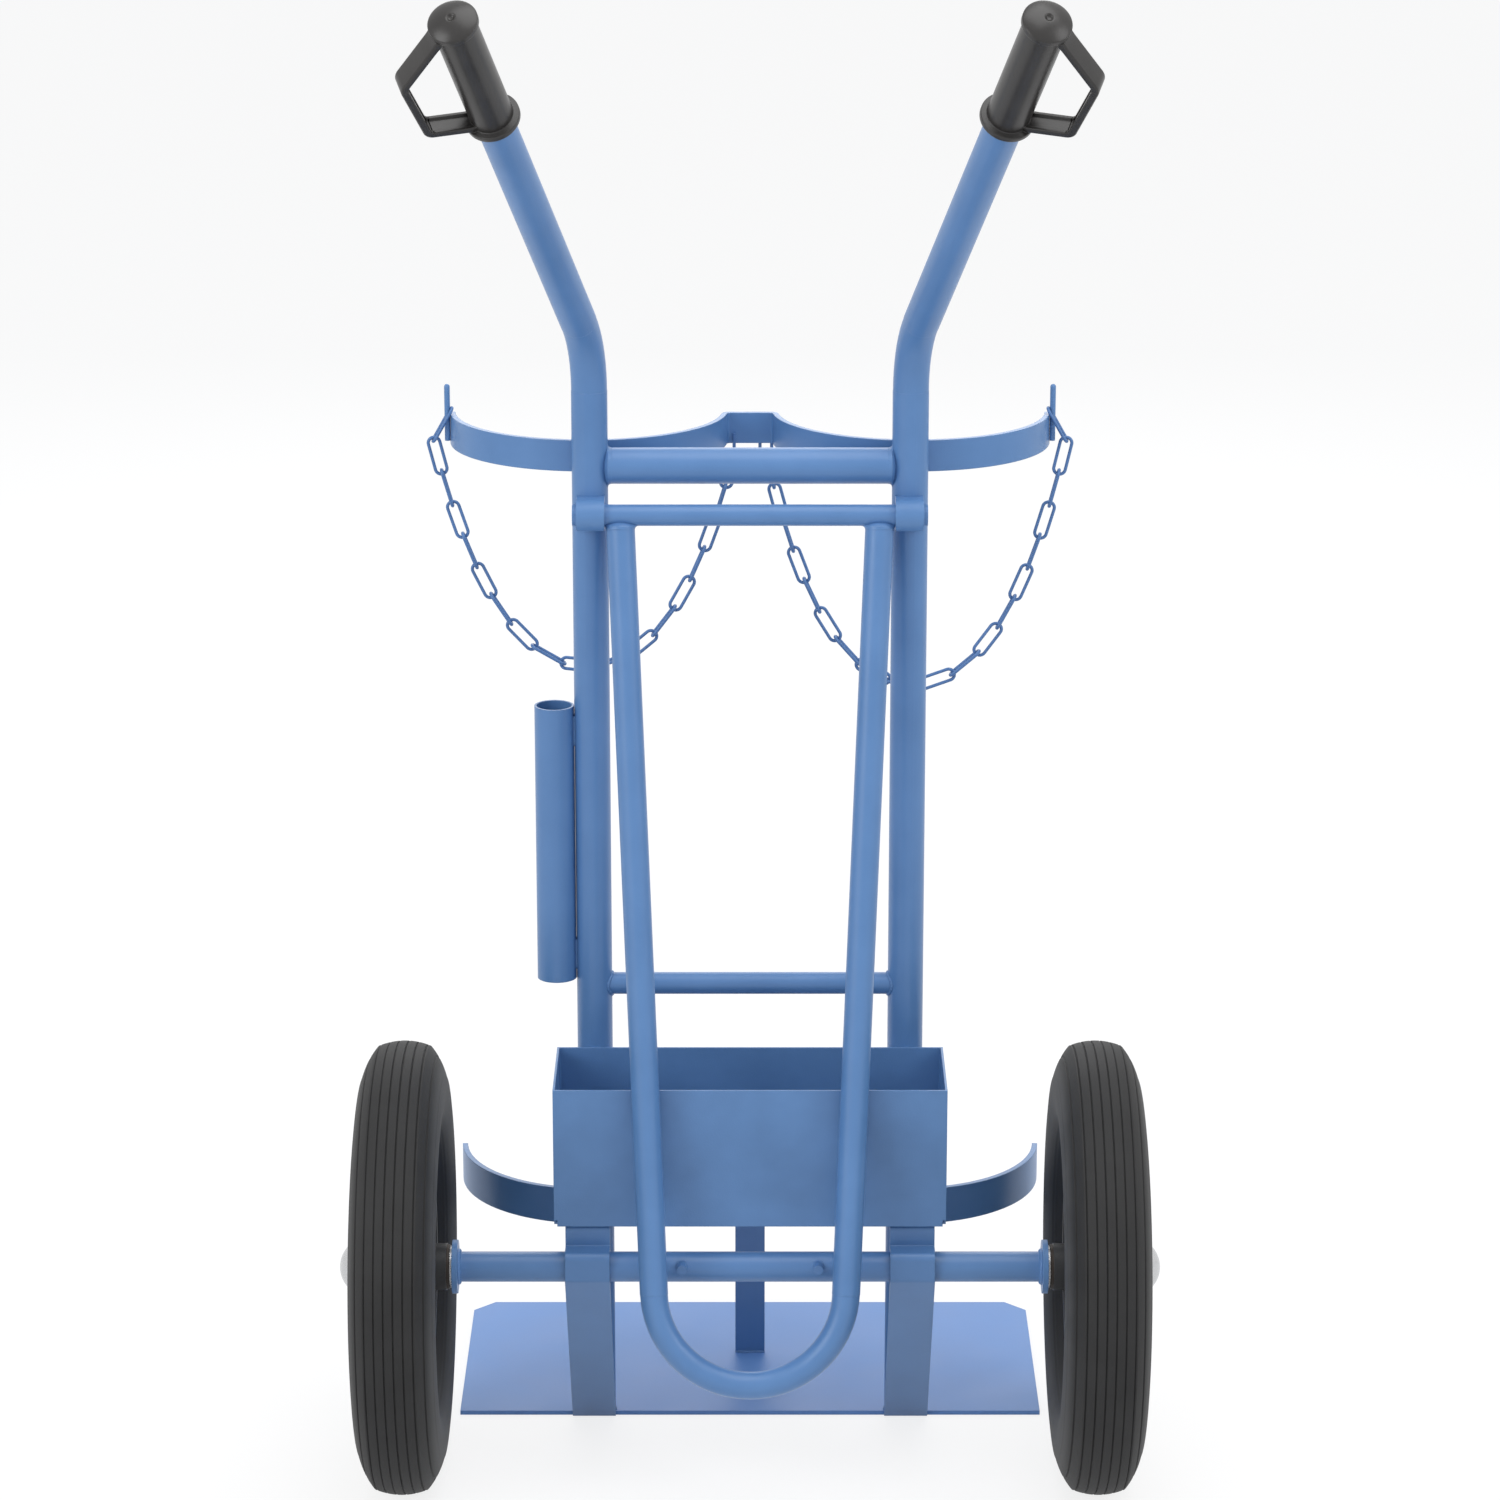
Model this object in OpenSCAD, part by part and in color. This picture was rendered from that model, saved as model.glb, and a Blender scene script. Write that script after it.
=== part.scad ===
// Two-cylinder gas trolley: tube frame with two band cradles, toe plate, tool box,
// fold-out prop stand, two slack retaining chains and two pneumatic wheels.
// Millimetres. +Z up, -Y towards the person pushing, +Y towards the cylinders.
// Origin: centre of the toe plate's underside, on the floor.

/* [Frame tubes] */
// Distance between the two upright centre lines
upright_pitch = 282; // [240:1:340]
// Outside diameter of the uprights and the upper cross-bar
tube_d = 32; // [25:1:40]
// Wall of the frame tubes
tube_wall = 2.5; // [1.5:0.1:4]
// Height where the upright's and the handle's centre lines meet
bend_z = 1013; // [850:1:1150]
// Centre-line radius of the handle bend
bend_r = 90; // [60:1:140]
// Lean of the handle away from vertical
handle_tilt = 47.4; // [30:0.1:65]
// Outward splay of the handle
handle_splay = 15; // [0:0.5:30]
// Height of the upper cross-bar's centre
upper_bar_z = 906; // [700:1:980]
// Height of the lower cross-bar's centre
lower_bar_z = 425; // [380:1:600]
// Outside diameter of the lower cross-bar
lower_bar_d = 20; // [16:1:30]

/* [Handle grips] */
// Distance along the handle from the bend point to the grip
grip_start = 352; // [200:1:400]
// Length of the grip from flange to dome top
grip_len = 142; // [115:1:160]
// Outside diameter of the grip's body
grip_d = 36; // [35:1:50]
// Diameter of the grip's flange
grip_flange_d = 46; // [40:1:60]
// Diameter of the grip's end cap
grip_cap_d = 41; // [38:1:60]
// Thickness of the grip's flange and cap rim
grip_flange_t = 5; // [3:0.5:12]
// Reach of the hand guard from the grip's axis
guard_reach = 57; // [45:1:80]
// Thickness of the guard strap
guard_t = 6.5; // [4:0.5:9]
// Width of the guard strap
guard_w = 22; // [14:1:30]
// Roll of the guard about the handle
guard_roll = 60; // [0:1:90]

/* [Toe plate] */
// Width of the toe plate
plate_w = 540; // [420:5:700]
// Depth of the toe plate
plate_d = 260; // [200:5:340]
// Thickness of the toe plate
plate_t = 4; // [3:0.5:8]
// Leg of the cut front corners
plate_cut = 20; // [0:1:50]

/* [Cylinder cradles] */
// Distance between the two cradle centres
cradle_pitch = 292; // [260:1:340]
// Outside radius of the cradle band
cradle_r = 126; // [100:1:140]
// Height of the upper cradle's band
upper_band_h = 28; // [20:1:50]
// Height of the lower cradle's band
lower_band_h = 34; // [20:1:50]
// Thickness of the cradle band
band_t = 5; // [3:0.5:8]
// Height of the upper cradle's centre
upper_cradle_z = 911; // [700:1:960]
// Height of the lower cradle's centre
lower_cradle_z = 201; // [120:1:300]
// Distance of the bridge's middle in front of the origin
bridge_y = 4; // [0:0.5:20]
// Centre-line radius of the bridge's bends
bridge_bend_r = 6; // [4:0.5:12]
// Angle by which the band stops short of half a circle
cradle_end = 3; // [0:0.5:20]
// Width of the centre strut
strut_w = 28; // [20:1:50]

/* [Tool box] */
// Outside width of the tool box
box_w = 350; // [250:5:500]
// Outside depth of the tool box
box_d = 114; // [80:1:160]
// Height of the tool box
box_h = 129; // [80:1:180]
// Sheet thickness of the tool box
box_t = 2; // [1:0.1:3]
// Height of the tool box's underside
box_z = 240; // [232:1:320]

/* [Axle] */
// Distance of the axle behind the origin
axle_back = 260; // [220:1:320]
// Outside diameter of the axle tube
axle_tube_d = 27; // [24:0.5:40]
// Length of the axle tube
axle_tube_len = 522; // [400:1:640]
// Diameter of the axle rod
rod_d = 20; // [16:1:25]
// Diameter of the flange discs at the tube's ends
axle_flange_d = 48; // [36:1:70]
// Thickness of the flange discs
axle_flange_t = 5; // [3:0.5:8]
// Diameter of the push-on dome caps
axle_cap_d = 42; // [30:1:50]
// Rise of the caps' domes
axle_cap_rise = 10; // [4:1:16]
// Width of the axle brackets
bracket_w = 40; // [25:1:60]
// Distance between the two axle brackets
bracket_pitch = 290; // [240:1:340]
// Thickness of the axle brackets
bracket_t = 5; // [3:0.5:8]
// Diameter of the stand's guide pins
guide_pin_d = 9; // [6:0.5:14]
// Distance between the guide pins
guide_pin_pitch = 122; // [60:1:160]

/* [Wheels] */
// Outside diameter of the tyre
tyre_d = 404; // [350:1:450]
// Width of the tyre
tyre_w = 75.5; // [64:0.5:90]
// Seat diameter of the rim
rim_d = 204; // [180:1:220]
// Width between the rim's flanges
rim_w = 40; // [36:1:48]
// Outside diameter of the hub tube
hub_d = 42; // [36:1:60]
// Length of the hub tube
hub_len = 77; // [60:1:90]
// Number of openings in the rim's disc
spoke_n = 5; // [3:1:8]
// Diameter of the openings in the rim's disc
spoke_hole_d = 48; // [30:1:56]

/* [Prop stand] */
// Outside diameter of the stand's tube
stand_d = 25; // [20:1:32]
// Distance between the stand's legs at the pivot bar
stand_top_pitch = 228; // [180:1:240]
// Centre-line radius of the stand's bottom bend
stand_bend_r = 85; // [60:1:110]
// Lean of the stand at rest
stand_lean = 13.4; // [5:0.1:30]
// Length from the pivot to the middle of the bottom tube
stand_len = 769.5; // [600:0.5:830]
// Height of the pivot bar's centre
pivot_z = 867.5; // [700:0.5:960]
// Diameter of the pivot bar
pivot_d = 19; // [14:0.5:24]
// Length of the pivot bar beyond each upright's centre line
pivot_end = 15; // [4:1:30]
// Width of the pivot straps
strap_w = 25; // [16:1:40]
// Thickness of the pivot straps
strap_t = 4.5; // [3:0.5:6]

/* [Rod tube] */
// Outside diameter of the welding-rod tube
rod_tube_d = 35.5; // [25:0.5:60]
// Wall of the welding-rod tube
rod_tube_wall = 2; // [1:0.1:4]
// Length of the welding-rod tube
rod_tube_len = 256; // [150:1:380]
// Height of the welding-rod tube's lower end
rod_tube_z = 431; // [300:1:600]

/* [Chains] */
// Wire diameter of the chain
wire_d = 3; // [2.5:0.5:5]
// Inside length of a link
link_pitch = 31; // [24:0.5:40]
// Outside width of a link
link_w = 13.6; // [12:0.1:18]
// Links in the left chain
links_left = 17; // [13:2:21]
// Links in the right chain
links_right = 18; // [14:2:22]
// Diameter of the chain pegs
peg_d = 5.2; // [4:0.1:6]
// Height of the chain pegs
peg_len = 52; // [40:1:70]
// Angle of the peg behind the cradle's side
peg_angle = 8; // [4:0.5:20]
// Slope of the end link hung over the peg
end_link_slope = 60; // [50:1:70]

/* [Hidden] */
$fn = 64;
eps = 1;
weld_gap = 0.1;
play = 0.4;
run_fit = 0.08;
press_fit = 0.02;
skin = 0.03;
draw = 0.2;
lap = 0.3;

tube_r = tube_d / 2;
upright_x = upright_pitch / 2;
upright_set = 1;
upright_y = -plate_d / 2 + upright_set;
upright_back = upright_y - tube_r;
bend_leg = bend_r * tan(handle_tilt / 2);
handle_az = -90 + handle_splay;
tube_end_gap = 11;
grip_dome_h = 6;
guard_root = 7;
guard_foot = 5;
guard_high = 0.627;
guard_low = 0.165;
guard_draw_in = 4;
handle_len = grip_start + grip_len - tube_end_gap;

axle_z = tyre_d / 2;
axle_r = axle_tube_d / 2;
rod_r = rod_d / 2;
rod_play = 0.5;
flange_in = axle_tube_len / 2;
flange_out = flange_in + axle_flange_t;
washer_t = 2;
washer_d = 38;
washer_gap = 0.3;
bush_collar_t = 2.5;
bush_collar_d = 40;
bush_len = 30;
bush_wall = 6;
hub_half = hub_len / 2;
bush_half = hub_half + bush_collar_t;
washer_in = flange_out + weld_gap;
wheel_x = washer_in + washer_t + washer_gap + bush_half;
washer_out = wheel_x + bush_half + washer_gap;
cap_in = washer_out + washer_t + weld_gap;
cap_body_t = 4;
rod_half = cap_in + cap_body_t;

cradle_x = cradle_pitch / 2;
cradle_off = cradle_x - upright_x;
cradle_sum = cradle_r + tube_r + weld_gap;
cradle_y = upright_y + sqrt(cradle_sum * cradle_sum - cradle_off * cradle_off);
band_mid_r = cradle_r - band_t / 2;
nip_r = band_mid_r + bridge_bend_r;
nip_dy = cradle_y - bridge_y + bridge_bend_r;
nip_dx = sqrt(nip_r * nip_r - nip_dy * nip_dy);
nip_angle = atan2(nip_dy, nip_dx);
bridge_half = cradle_x - nip_dx;
upper_band_top = upper_cradle_z + upper_band_h / 2;
upper_band_bottom = upper_cradle_z - upper_band_h / 2;
strut_y = bridge_y + band_t / 2 + weld_gap;
strut_top = lower_cradle_z + lower_band_h / 2;

box_front = upright_back - weld_gap;
box_back = box_front - box_d;
box_notch = 6;

strap_inner_r = 1;
bracket_bend_r = bracket_t / 2 + strap_inner_r;
step_in = 5.5;
step_y = -axle_back + step_in;
run_z = box_z - weld_gap - bracket_t / 2;
ledge_z = axle_z + axle_r + weld_gap + bracket_t / 2;
rear_y = -axle_back - axle_r - weld_gap - bracket_t / 2;
knee_drop = 6;
knee_z = axle_z - knee_drop;
bracket_cope = 5;
foot_dy = -plate_d / 2 - bracket_t / 2 - rear_y;
foot_dz = plate_t - knee_z;
foot_run = sqrt(foot_dy * foot_dy + foot_dz * foot_dz);
foot_angle = atan2(foot_dz, foot_dy);
knee_turn = 90 + foot_angle;
knee_leg = bracket_bend_r * tan(knee_turn / 2);
guide_pin_reach = 8;
guide_pin_lift = 5;

pivot_r = pivot_d / 2;
pivot_len = upright_pitch + 2 * pivot_end;
pivot_gap = 0.5;
pivot_y = upright_back - pivot_gap - pivot_r;
strap_inset = 1;
strap_mid_r = pivot_r + run_fit + strap_t / 2;
stand_r = stand_d / 2;
stand_wall = 2;
stand_top = stand_top_pitch / 2;
stand_drop = stand_len - stand_bend_r;
stand_taper = acos(stand_bend_r / sqrt(stand_top * stand_top + stand_drop * stand_drop))
    - atan2(stand_drop, stand_top);
stand_leg = stand_drop * cos(stand_taper) + stand_top * sin(stand_taper);

rod_tube_r = rod_tube_d / 2;
rod_tube_x = -upright_x - tube_r - rod_tube_r - weld_gap;
rod_tube_floor = 3;

wire_r = wire_d / 2;
link_r = (link_w - wire_d) / 2;
link_slip = 0.45;
link_drop = 0.6;
link_over = wire_r + link_slip;
link_len = link_pitch + 2 * link_over;
hang = wire_d + link_drop;
peg_r = peg_d / 2;
peg_rad = cradle_r + peg_r + weld_gap;
peg_above = 28;
peg_top = upper_band_top + peg_above;
hook_in_rad = peg_rad - peg_r - wire_r - weld_gap;
hook_lift = ((wire_r + weld_gap) + (cradle_r - hook_in_rad) * sin(end_link_slope))
    / cos(end_link_slope);
hook_in_z = upper_band_top + hook_lift;
hook_out_rad = hook_in_rad + link_len * cos(end_link_slope);
hook_out_z = hook_in_z - link_len * sin(end_link_slope);
hook_x = cradle_x + hook_out_rad * cos(peg_angle);
hook_y = cradle_y - hook_out_rad * sin(peg_angle);
eye_inset = 3;
eye_drop = 8;
eye_x = bridge_half - eye_inset;
eye_r = band_t / 2 + weld_gap + wire_r;
eye_z = upper_band_bottom - eye_drop - hang;
chain_lift = hang - link_over;
chain_start_z = hook_out_z + chain_lift;
chain_end_z = eye_z + chain_lift;
chain_span = sqrt(pow(hook_x - eye_x, 2) + pow(hook_y - bridge_y, 2));
chain_rise = chain_end_z - chain_start_z;
slack_most = 12;
slack_least = 4;
halvings = 40;
chain_az = atan2(bridge_y - hook_y, eye_x - hook_x);

tyre_r = tyre_d / 2;
section_drop = 46;
section_y = tyre_r - section_drop;
side_r = 65;
side_in = side_r - tyre_w / 2;
crown_r = 60;
side_wall = 7;
tread_wall = 12;
bead_top = 12;
bead_in = 10;
mouth = rim_w / 2 - bead_in - play;
seat_r = rim_d / 2;
groove_n = 8;
groove_pitch = 8.4;
groove_w = 1.4;
groove_depth = 2;
rim_t = 3;
rim_flange_h = 7;
disc_t = 4;
disc_out = 4;
spoke_hole_r = 62;
tube_air = 2.5;
valve_d = 8;
valve_len = 34;

blue = [0.16, 0.36, 0.68];
black = [0.09, 0.09, 0.1];
rubber = [0.13, 0.13, 0.13];
zinc = [0.72, 0.73, 0.74];
steel = [0.5, 0.5, 0.52];
brown = [0.2, 0.14, 0.11];

// Shared shapes

module left() {
    mirror([1, 0, 0]) children();
}

module along_x() {
    rotate([0, 90, 0]) children();
}

module bar_x(d, len) {
    along_x() cylinder(d = d, h = len, center = true);
}

// Profile in a vertical fore-and-aft plane, width across the trolley
module across() {
    rotate([90, 0, 90]) children();
}

// Flat strip's bend as a profile: a slice of a ring between two angles
module strip_arc(r, a0, a1, t) {
    reach = 3 * r;
    intersection() {
        difference() {
            circle(r = r + t / 2);
            circle(r = r - t / 2);
        }
        polygon([[0, 0], for (i = [0 : 4]) let (a = a0 + (a1 - a0) * i / 4)
            [reach * cos(a), reach * sin(a)]]);
    }
}

// Bend between two runs: a hair thinner, and let into both of them
module strip_bend(r, a0, a1, t) {
    over = lap / r * 180 / PI;
    strip_arc(r, a0 - over, a1 + over, t - 2 * skin);
}

module strip_run(len, t) {
    translate([0, -t / 2]) square([len, t]);
}

module ring(r_out, r_in, x0, x1) {
    translate([x0, 0, 0]) along_x() difference() {
        cylinder(r = r_out, h = x1 - x0);
        translate([0, 0, -eps]) cylinder(r = r_in, h = x1 - x0 + 2 * eps);
    }
}

// Frame

module handle_frame() {
    translate([upright_x, upright_y, 0]) rotate([0, 0, handle_az]) children();
}

module pipe(r, wall, h) {
    difference() {
        cylinder(r = r, h = h);
        translate([0, 0, -eps]) cylinder(r = r - wall, h = h + 2 * eps);
    }
}

// Bent tube about the frame's Z axis, starting at angle 0
module pipe_bend(r, wall, bend, angle) {
    over = lap / bend * 180 / PI;
    rotate([0, 0, -over]) rotate_extrude(angle = angle + 2 * over)
        translate([bend, 0]) difference() {
            circle(r = r - draw);
            circle(r = r - wall + draw);
        }
}

// Room for a bracket's sloping foot, which the upright is trimmed to at the bottom
module foot_trim() {
    translate([upright_x - tube_d, 0, 0]) across() linear_extrude(2 * tube_d)
        translate([rear_y, knee_z]) rotate(foot_angle)
            translate([foot_run / 2, bracket_t / 2 + weld_gap - 2 * tube_d])
                square([foot_run, 2 * tube_d]);
}

module upright() {
    rise = bend_z - bend_leg;
    color(blue) difference() {
        handle_frame() {
            translate([0, 0, plate_t]) pipe(tube_r, tube_wall, rise - plate_t);
            translate([bend_r, 0, rise]) rotate([90, 0, 180]) {
                pipe_bend(tube_r, tube_wall, bend_r, handle_tilt);
                rotate([0, 0, handle_tilt]) translate([bend_r, 0, 0]) rotate([-90, 0, 0])
                    pipe(tube_r, tube_wall, handle_len - bend_leg);
            }
        }
        foot_trim();
    }
}

module upright_left() {
    left() upright();
}

module upright_right() {
    upright();
}

module upper_crossbar() {
    half = upright_x - tube_r - weld_gap;
    color(blue) translate([-half, upright_y, upper_bar_z]) along_x()
        pipe(tube_r, tube_wall, 2 * half);
}

module lower_crossbar() {
    color(blue) translate([0, upright_y, lower_bar_z]) difference() {
        bar_x(lower_bar_d, upright_pitch);
        bar_x(lower_bar_d - 2 * tube_wall, upright_pitch + 2 * eps);
        for (s = [-1, 1]) translate([s * upright_x, 0, -tube_d])
            cylinder(r = tube_r + weld_gap, h = 2 * tube_d);
    }
}

module base_plate() {
    w = plate_w / 2;
    d = plate_d / 2;
    color(blue) linear_extrude(plate_t) polygon([[-w, -d], [w, -d], [w, d - plate_cut],
        [w - plate_cut, d], [plate_cut - w, d], [-w, d - plate_cut]]);
}

// One side of the band in plan: long bend, small bend, then half the bridge
module cradle_half() {
    translate([cradle_x, cradle_y])
        strip_arc(band_mid_r, 180 + nip_angle, 360 - cradle_end, band_t);
    translate([bridge_half, bridge_y - bridge_bend_r])
        strip_bend(bridge_bend_r, nip_angle, 90, band_t);
}

module cradle(z, h) {
    color(blue) translate([0, 0, z - h / 2]) linear_extrude(h) {
        cradle_half();
        mirror([1, 0]) cradle_half();
        translate([-bridge_half, bridge_y]) strip_run(2 * bridge_half, band_t);
    }
}

module upper_cradle() {
    cradle(upper_cradle_z, upper_band_h);
}

module lower_cradle() {
    cradle(lower_cradle_z, lower_band_h);
}

module centre_strut() {
    color(blue) translate([-strut_w / 2, strut_y, plate_t])
        cube([strut_w, band_t, strut_top - plate_t]);
}

module rod_tube() {
    color(blue) translate([rod_tube_x, upright_y, rod_tube_z]) difference() {
        cylinder(r = rod_tube_r, h = rod_tube_len);
        translate([0, 0, rod_tube_floor])
            cylinder(r = rod_tube_r - rod_tube_wall, h = rod_tube_len);
    }
}

module tool_box() {
    wall = [box_w - 2 * box_t, box_d - 2 * box_t, box_h];
    color(blue) difference() {
        translate([-box_w / 2, box_back, box_z]) cube([box_w, box_d, box_h]);
        translate([-wall[0] / 2, box_back + box_t, box_z + box_t]) cube(wall);
        for (s = [-1, 1]) translate([s * box_w / 2, box_back, box_z])
            cube([box_notch, 2 * box_notch, 2 * box_notch], center = true);
    }
}

// Axle and its brackets

module at_axle() {
    translate([0, -axle_back, axle_z]) children();
}

module axle_tube() {
    color(blue) at_axle() ring(axle_r, rod_r + rod_play, -flange_in, flange_in);
}

module axle_flange() {
    color(blue) at_axle() ring(axle_flange_d / 2, rod_r + press_fit, flange_in, flange_out);
}

module axle_flange_left() {
    left() axle_flange();
}

module axle_flange_right() {
    axle_flange();
}

module axle_rod() {
    color(steel) at_axle() bar_x(rod_d, 2 * rod_half);
}

module washer_pair() {
    at_axle() {
        ring(washer_d / 2, rod_r + run_fit, washer_in, washer_in + washer_t);
        ring(washer_d / 2, rod_r + run_fit, washer_out, washer_out + washer_t);
    }
}

module axle_washers() {
    color(zinc) washer_pair();
    color(zinc) left() washer_pair();
}

module axle_cap() {
    r = axle_cap_d / 2;
    dome_r = (r * r + axle_cap_rise * axle_cap_rise) / (2 * axle_cap_rise);
    top = cap_in + cap_body_t + axle_cap_rise;
    color(zinc) at_axle() difference() {
        union() {
            ring(r, rod_r + press_fit, cap_in, cap_in + cap_body_t);
            intersection() {
                translate([top - dome_r, 0, 0]) along_x() sphere(r = dome_r);
                translate([cap_in + cap_body_t, 0, 0]) along_x() cylinder(r = r, h = 2 * axle_cap_rise);
            }
        }
        translate([cap_in, 0, 0]) along_x()
            cylinder(r = rod_r + press_fit, h = cap_body_t + press_fit);
    }
}

module axle_cap_left() {
    left() axle_cap();
}

module axle_cap_right() {
    axle_cap();
}

// Bracket seen from the side: x is the distance forwards, y the height
module bracket_path() {
    r = bracket_bend_r;
    translate([step_y + r, run_z])
        strip_run(upright_back + bracket_cope - step_y - r, bracket_t);
    translate([step_y + r, run_z - r]) strip_bend(r, 90, 180, bracket_t);
    translate([step_y, ledge_z + r]) rotate(90)
        strip_run(run_z - ledge_z - 2 * r, bracket_t);
    translate([step_y - r, ledge_z + r]) strip_bend(r, 270, 360, bracket_t);
    translate([rear_y + r, ledge_z]) strip_run(step_y - rear_y - 2 * r, bracket_t);
    translate([rear_y + r, ledge_z - r]) strip_bend(r, 90, 180, bracket_t);
    translate([rear_y, knee_z + knee_leg]) rotate(90)
        strip_run(ledge_z - r - knee_z - knee_leg, bracket_t);
    translate([rear_y + r, knee_z + knee_leg])
        strip_bend(r, 180, 180 + knee_turn, bracket_t);
    translate([rear_y, knee_z]) rotate(foot_angle) translate([knee_leg, 0])
        strip_run(foot_run + 2 * bracket_t, bracket_t);
}

module axle_bracket() {
    side = 2 * bracket_w;
    color(blue) difference() {
        translate([(bracket_pitch - bracket_w) / 2, 0, 0]) across()
            linear_extrude(bracket_w) bracket_path();
        translate([upright_x, upright_y, axle_z])
            cylinder(r = tube_r + weld_gap, h = tube_d * 2);
        translate([bracket_pitch / 2 - side / 2, -plate_d / 2 - weld_gap, -side])
            cube([side, side, side * 1.5]);
        translate([bracket_pitch / 2 - side / 2, -plate_d, weld_gap - side])
            cube([side, plate_d, side]);
    }
}

module axle_bracket_left() {
    left() axle_bracket();
}

module axle_bracket_right() {
    axle_bracket();
}

module guide_pins() {
    color(blue) for (s = [-1, 1]) difference() {
        translate([s * guide_pin_pitch / 2, -axle_back, axle_z + guide_pin_lift])
            rotate([90, 0, 0])
            cylinder(d = guide_pin_d, h = axle_r + guide_pin_reach);
        at_axle() bar_x(axle_tube_d + 2 * weld_gap, axle_tube_len);
    }
}

// Wheels, in their own frame: the centre plane at x = 0, outward is +X

module at_wheel() {
    translate([wheel_x, -axle_back, axle_z]) children();
}

module turned() {
    along_x() rotate_extrude() rotate(90) children();
}

// Half sections are drawn with x along the axle and y as the radius
module section_shape(inset, crown) {
    intersection() {
        translate([0, tyre_r - crown_r]) circle(r = crown_r - crown);
        translate([-side_in, section_y]) circle(r = side_r - inset);
        translate([side_in, section_y]) circle(r = side_r - inset);
        translate([-tyre_w, seat_r]) square([2 * tyre_w, tyre_r]);
    }
}

// Room inside the tyre, open between its beads
module tyre_room(inset) {
    section_shape(side_wall + inset, tread_wall + inset);
    translate([inset - mouth, seat_r]) square([2 * (mouth - inset), bead_top]);
}

module tyre_section() {
    difference() {
        union() {
            section_shape(0, 0);
            for (s = [-1, 1]) translate([s * (rim_w / 2 - bead_in / 2 - play), seat_r + bead_top / 2])
                square([bead_in, bead_top], center = true);
        }
        tyre_room(0);
        translate([-tyre_w, seat_r - eps]) square([2 * tyre_w, eps + press_fit]);
        for (i = [0 : groove_n - 1]) {
            gx = (i - (groove_n - 1) / 2) * groove_pitch;
            edge = min(sqrt(crown_r * crown_r - gx * gx) + tyre_r - crown_r,
                sqrt(side_r * side_r - pow(abs(gx) + side_in, 2)) + section_y);
            translate([gx - groove_w / 2, edge - groove_depth]) square([groove_w, tyre_w]);
        }
    }
}

module tyre() {
    color(rubber) at_wheel() turned() tyre_section();
}

module tyre_left() {
    left() tyre();
}

module tyre_right() {
    tyre();
}

module tube_shape(grow) {
    intersection() {
        tyre_room(play + grow);
        translate([-tyre_w, seat_r + play + grow]) square([2 * tyre_w, tyre_r]);
    }
}

module inner_tube() {
    color(rubber) at_wheel() difference() {
        turned() difference() {
            tube_shape(0);
            tube_shape(tube_air);
        }
        cylinder(d = valve_d + play, h = seat_r + 3 * tube_air);
    }
}

module inner_tube_left() {
    left() inner_tube();
}

module inner_tube_right() {
    inner_tube();
}

module valve() {
    color(black) at_wheel() translate([0, 0, seat_r + 2 * tube_air - valve_len])
        difference() {
            cylinder(d = valve_d, h = valve_len);
            translate([0, 0, -eps]) cylinder(d = valve_d / 2, h = valve_len + 2 * eps);
        }
}

module valve_left() {
    left() valve();
}

module valve_right() {
    valve();
}

module rim() {
    half = rim_w / 2;
    color(black) at_wheel() difference() {
        union() {
            ring(seat_r, seat_r - rim_t, -half, half);
            for (s = [-1, 1]) ring(seat_r + rim_flange_h, seat_r - rim_t,
                s * (half + rim_t / 2) - rim_t / 2, s * (half + rim_t / 2) + rim_t / 2);
            ring(seat_r - rim_t + eps, hub_d / 2 - eps, disc_out, disc_out + disc_t);
            ring(hub_d / 2, rod_r + bush_wall, -hub_half, hub_half);
        }
        for (i = [0 : spoke_n - 1]) rotate([i * 360 / spoke_n + 180 / spoke_n, 0, 0])
            translate([0, 0, spoke_hole_r]) along_x()
                cylinder(d = spoke_hole_d, h = 2 * (disc_out + disc_t));
        cylinder(d = valve_d + play, h = tyre_r);
    }
}

module rim_left() {
    left() rim();
}

module rim_right() {
    rim();
}

module bush() {
    sleeve_r = rod_r + bush_wall - press_fit;
    bore_r = rod_r + run_fit;
    ring(sleeve_r, bore_r, hub_half - bush_len, bush_half);
    ring(bush_collar_d / 2, bore_r, hub_half, bush_half);
}

module hub_bushes() {
    color(brown) at_wheel() {
        bush();
        left() bush();
    }
}

module hub_bushes_left() {
    left() hub_bushes();
}

module hub_bushes_right() {
    hub_bushes();
}

// Prop stand

module at_pivot() {
    translate([0, pivot_y, pivot_z]) children();
}

module pivot_strap() {
    color(blue) difference() {
        translate([upright_x - strap_inset - strap_w / 2, 0, 0]) at_pivot() across()
            linear_extrude(strap_w) {
                strip_arc(strap_mid_r, 90, 270, strap_t);
                for (s = [-1, 1]) translate([0, s * strap_mid_r])
                    strip_run(pivot_r + tube_r, strap_t);
            }
        translate([upright_x, upright_y, pivot_z - tube_d])
            cylinder(r = tube_r + weld_gap, h = 2 * tube_d);
    }
}

module pivot_strap_left() {
    left() pivot_strap();
}

module pivot_strap_right() {
    pivot_strap();
}

module stand_pivot_bar() {
    color(blue) at_pivot() bar_x(pivot_d, pivot_len);
}

// Leg from the bottom bend up past the pivot, on the right-hand side
module stand_leg_frame() {
    translate([0, 0, -stand_drop]) rotate([0, stand_taper, 0])
        translate([stand_bend_r, 0, 0]) children();
}

module stand_frame() {
    color(blue) at_pivot() rotate([-stand_lean, 0, 0]) difference() {
        union() {
            stand_leg_frame() pipe(stand_r, stand_wall, stand_leg);
            left() stand_leg_frame() pipe(stand_r, stand_wall, stand_leg);
            translate([0, 0, -stand_drop]) rotate([90, 0, 0])
                rotate([0, 0, 180 + stand_taper])
                    pipe_bend(stand_r, stand_wall, stand_bend_r, 180 - 2 * stand_taper);
        }
        translate([-pivot_len, -pivot_len, -pivot_r - weld_gap]) cube(2 * pivot_len);
    }
}

// Grips

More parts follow.
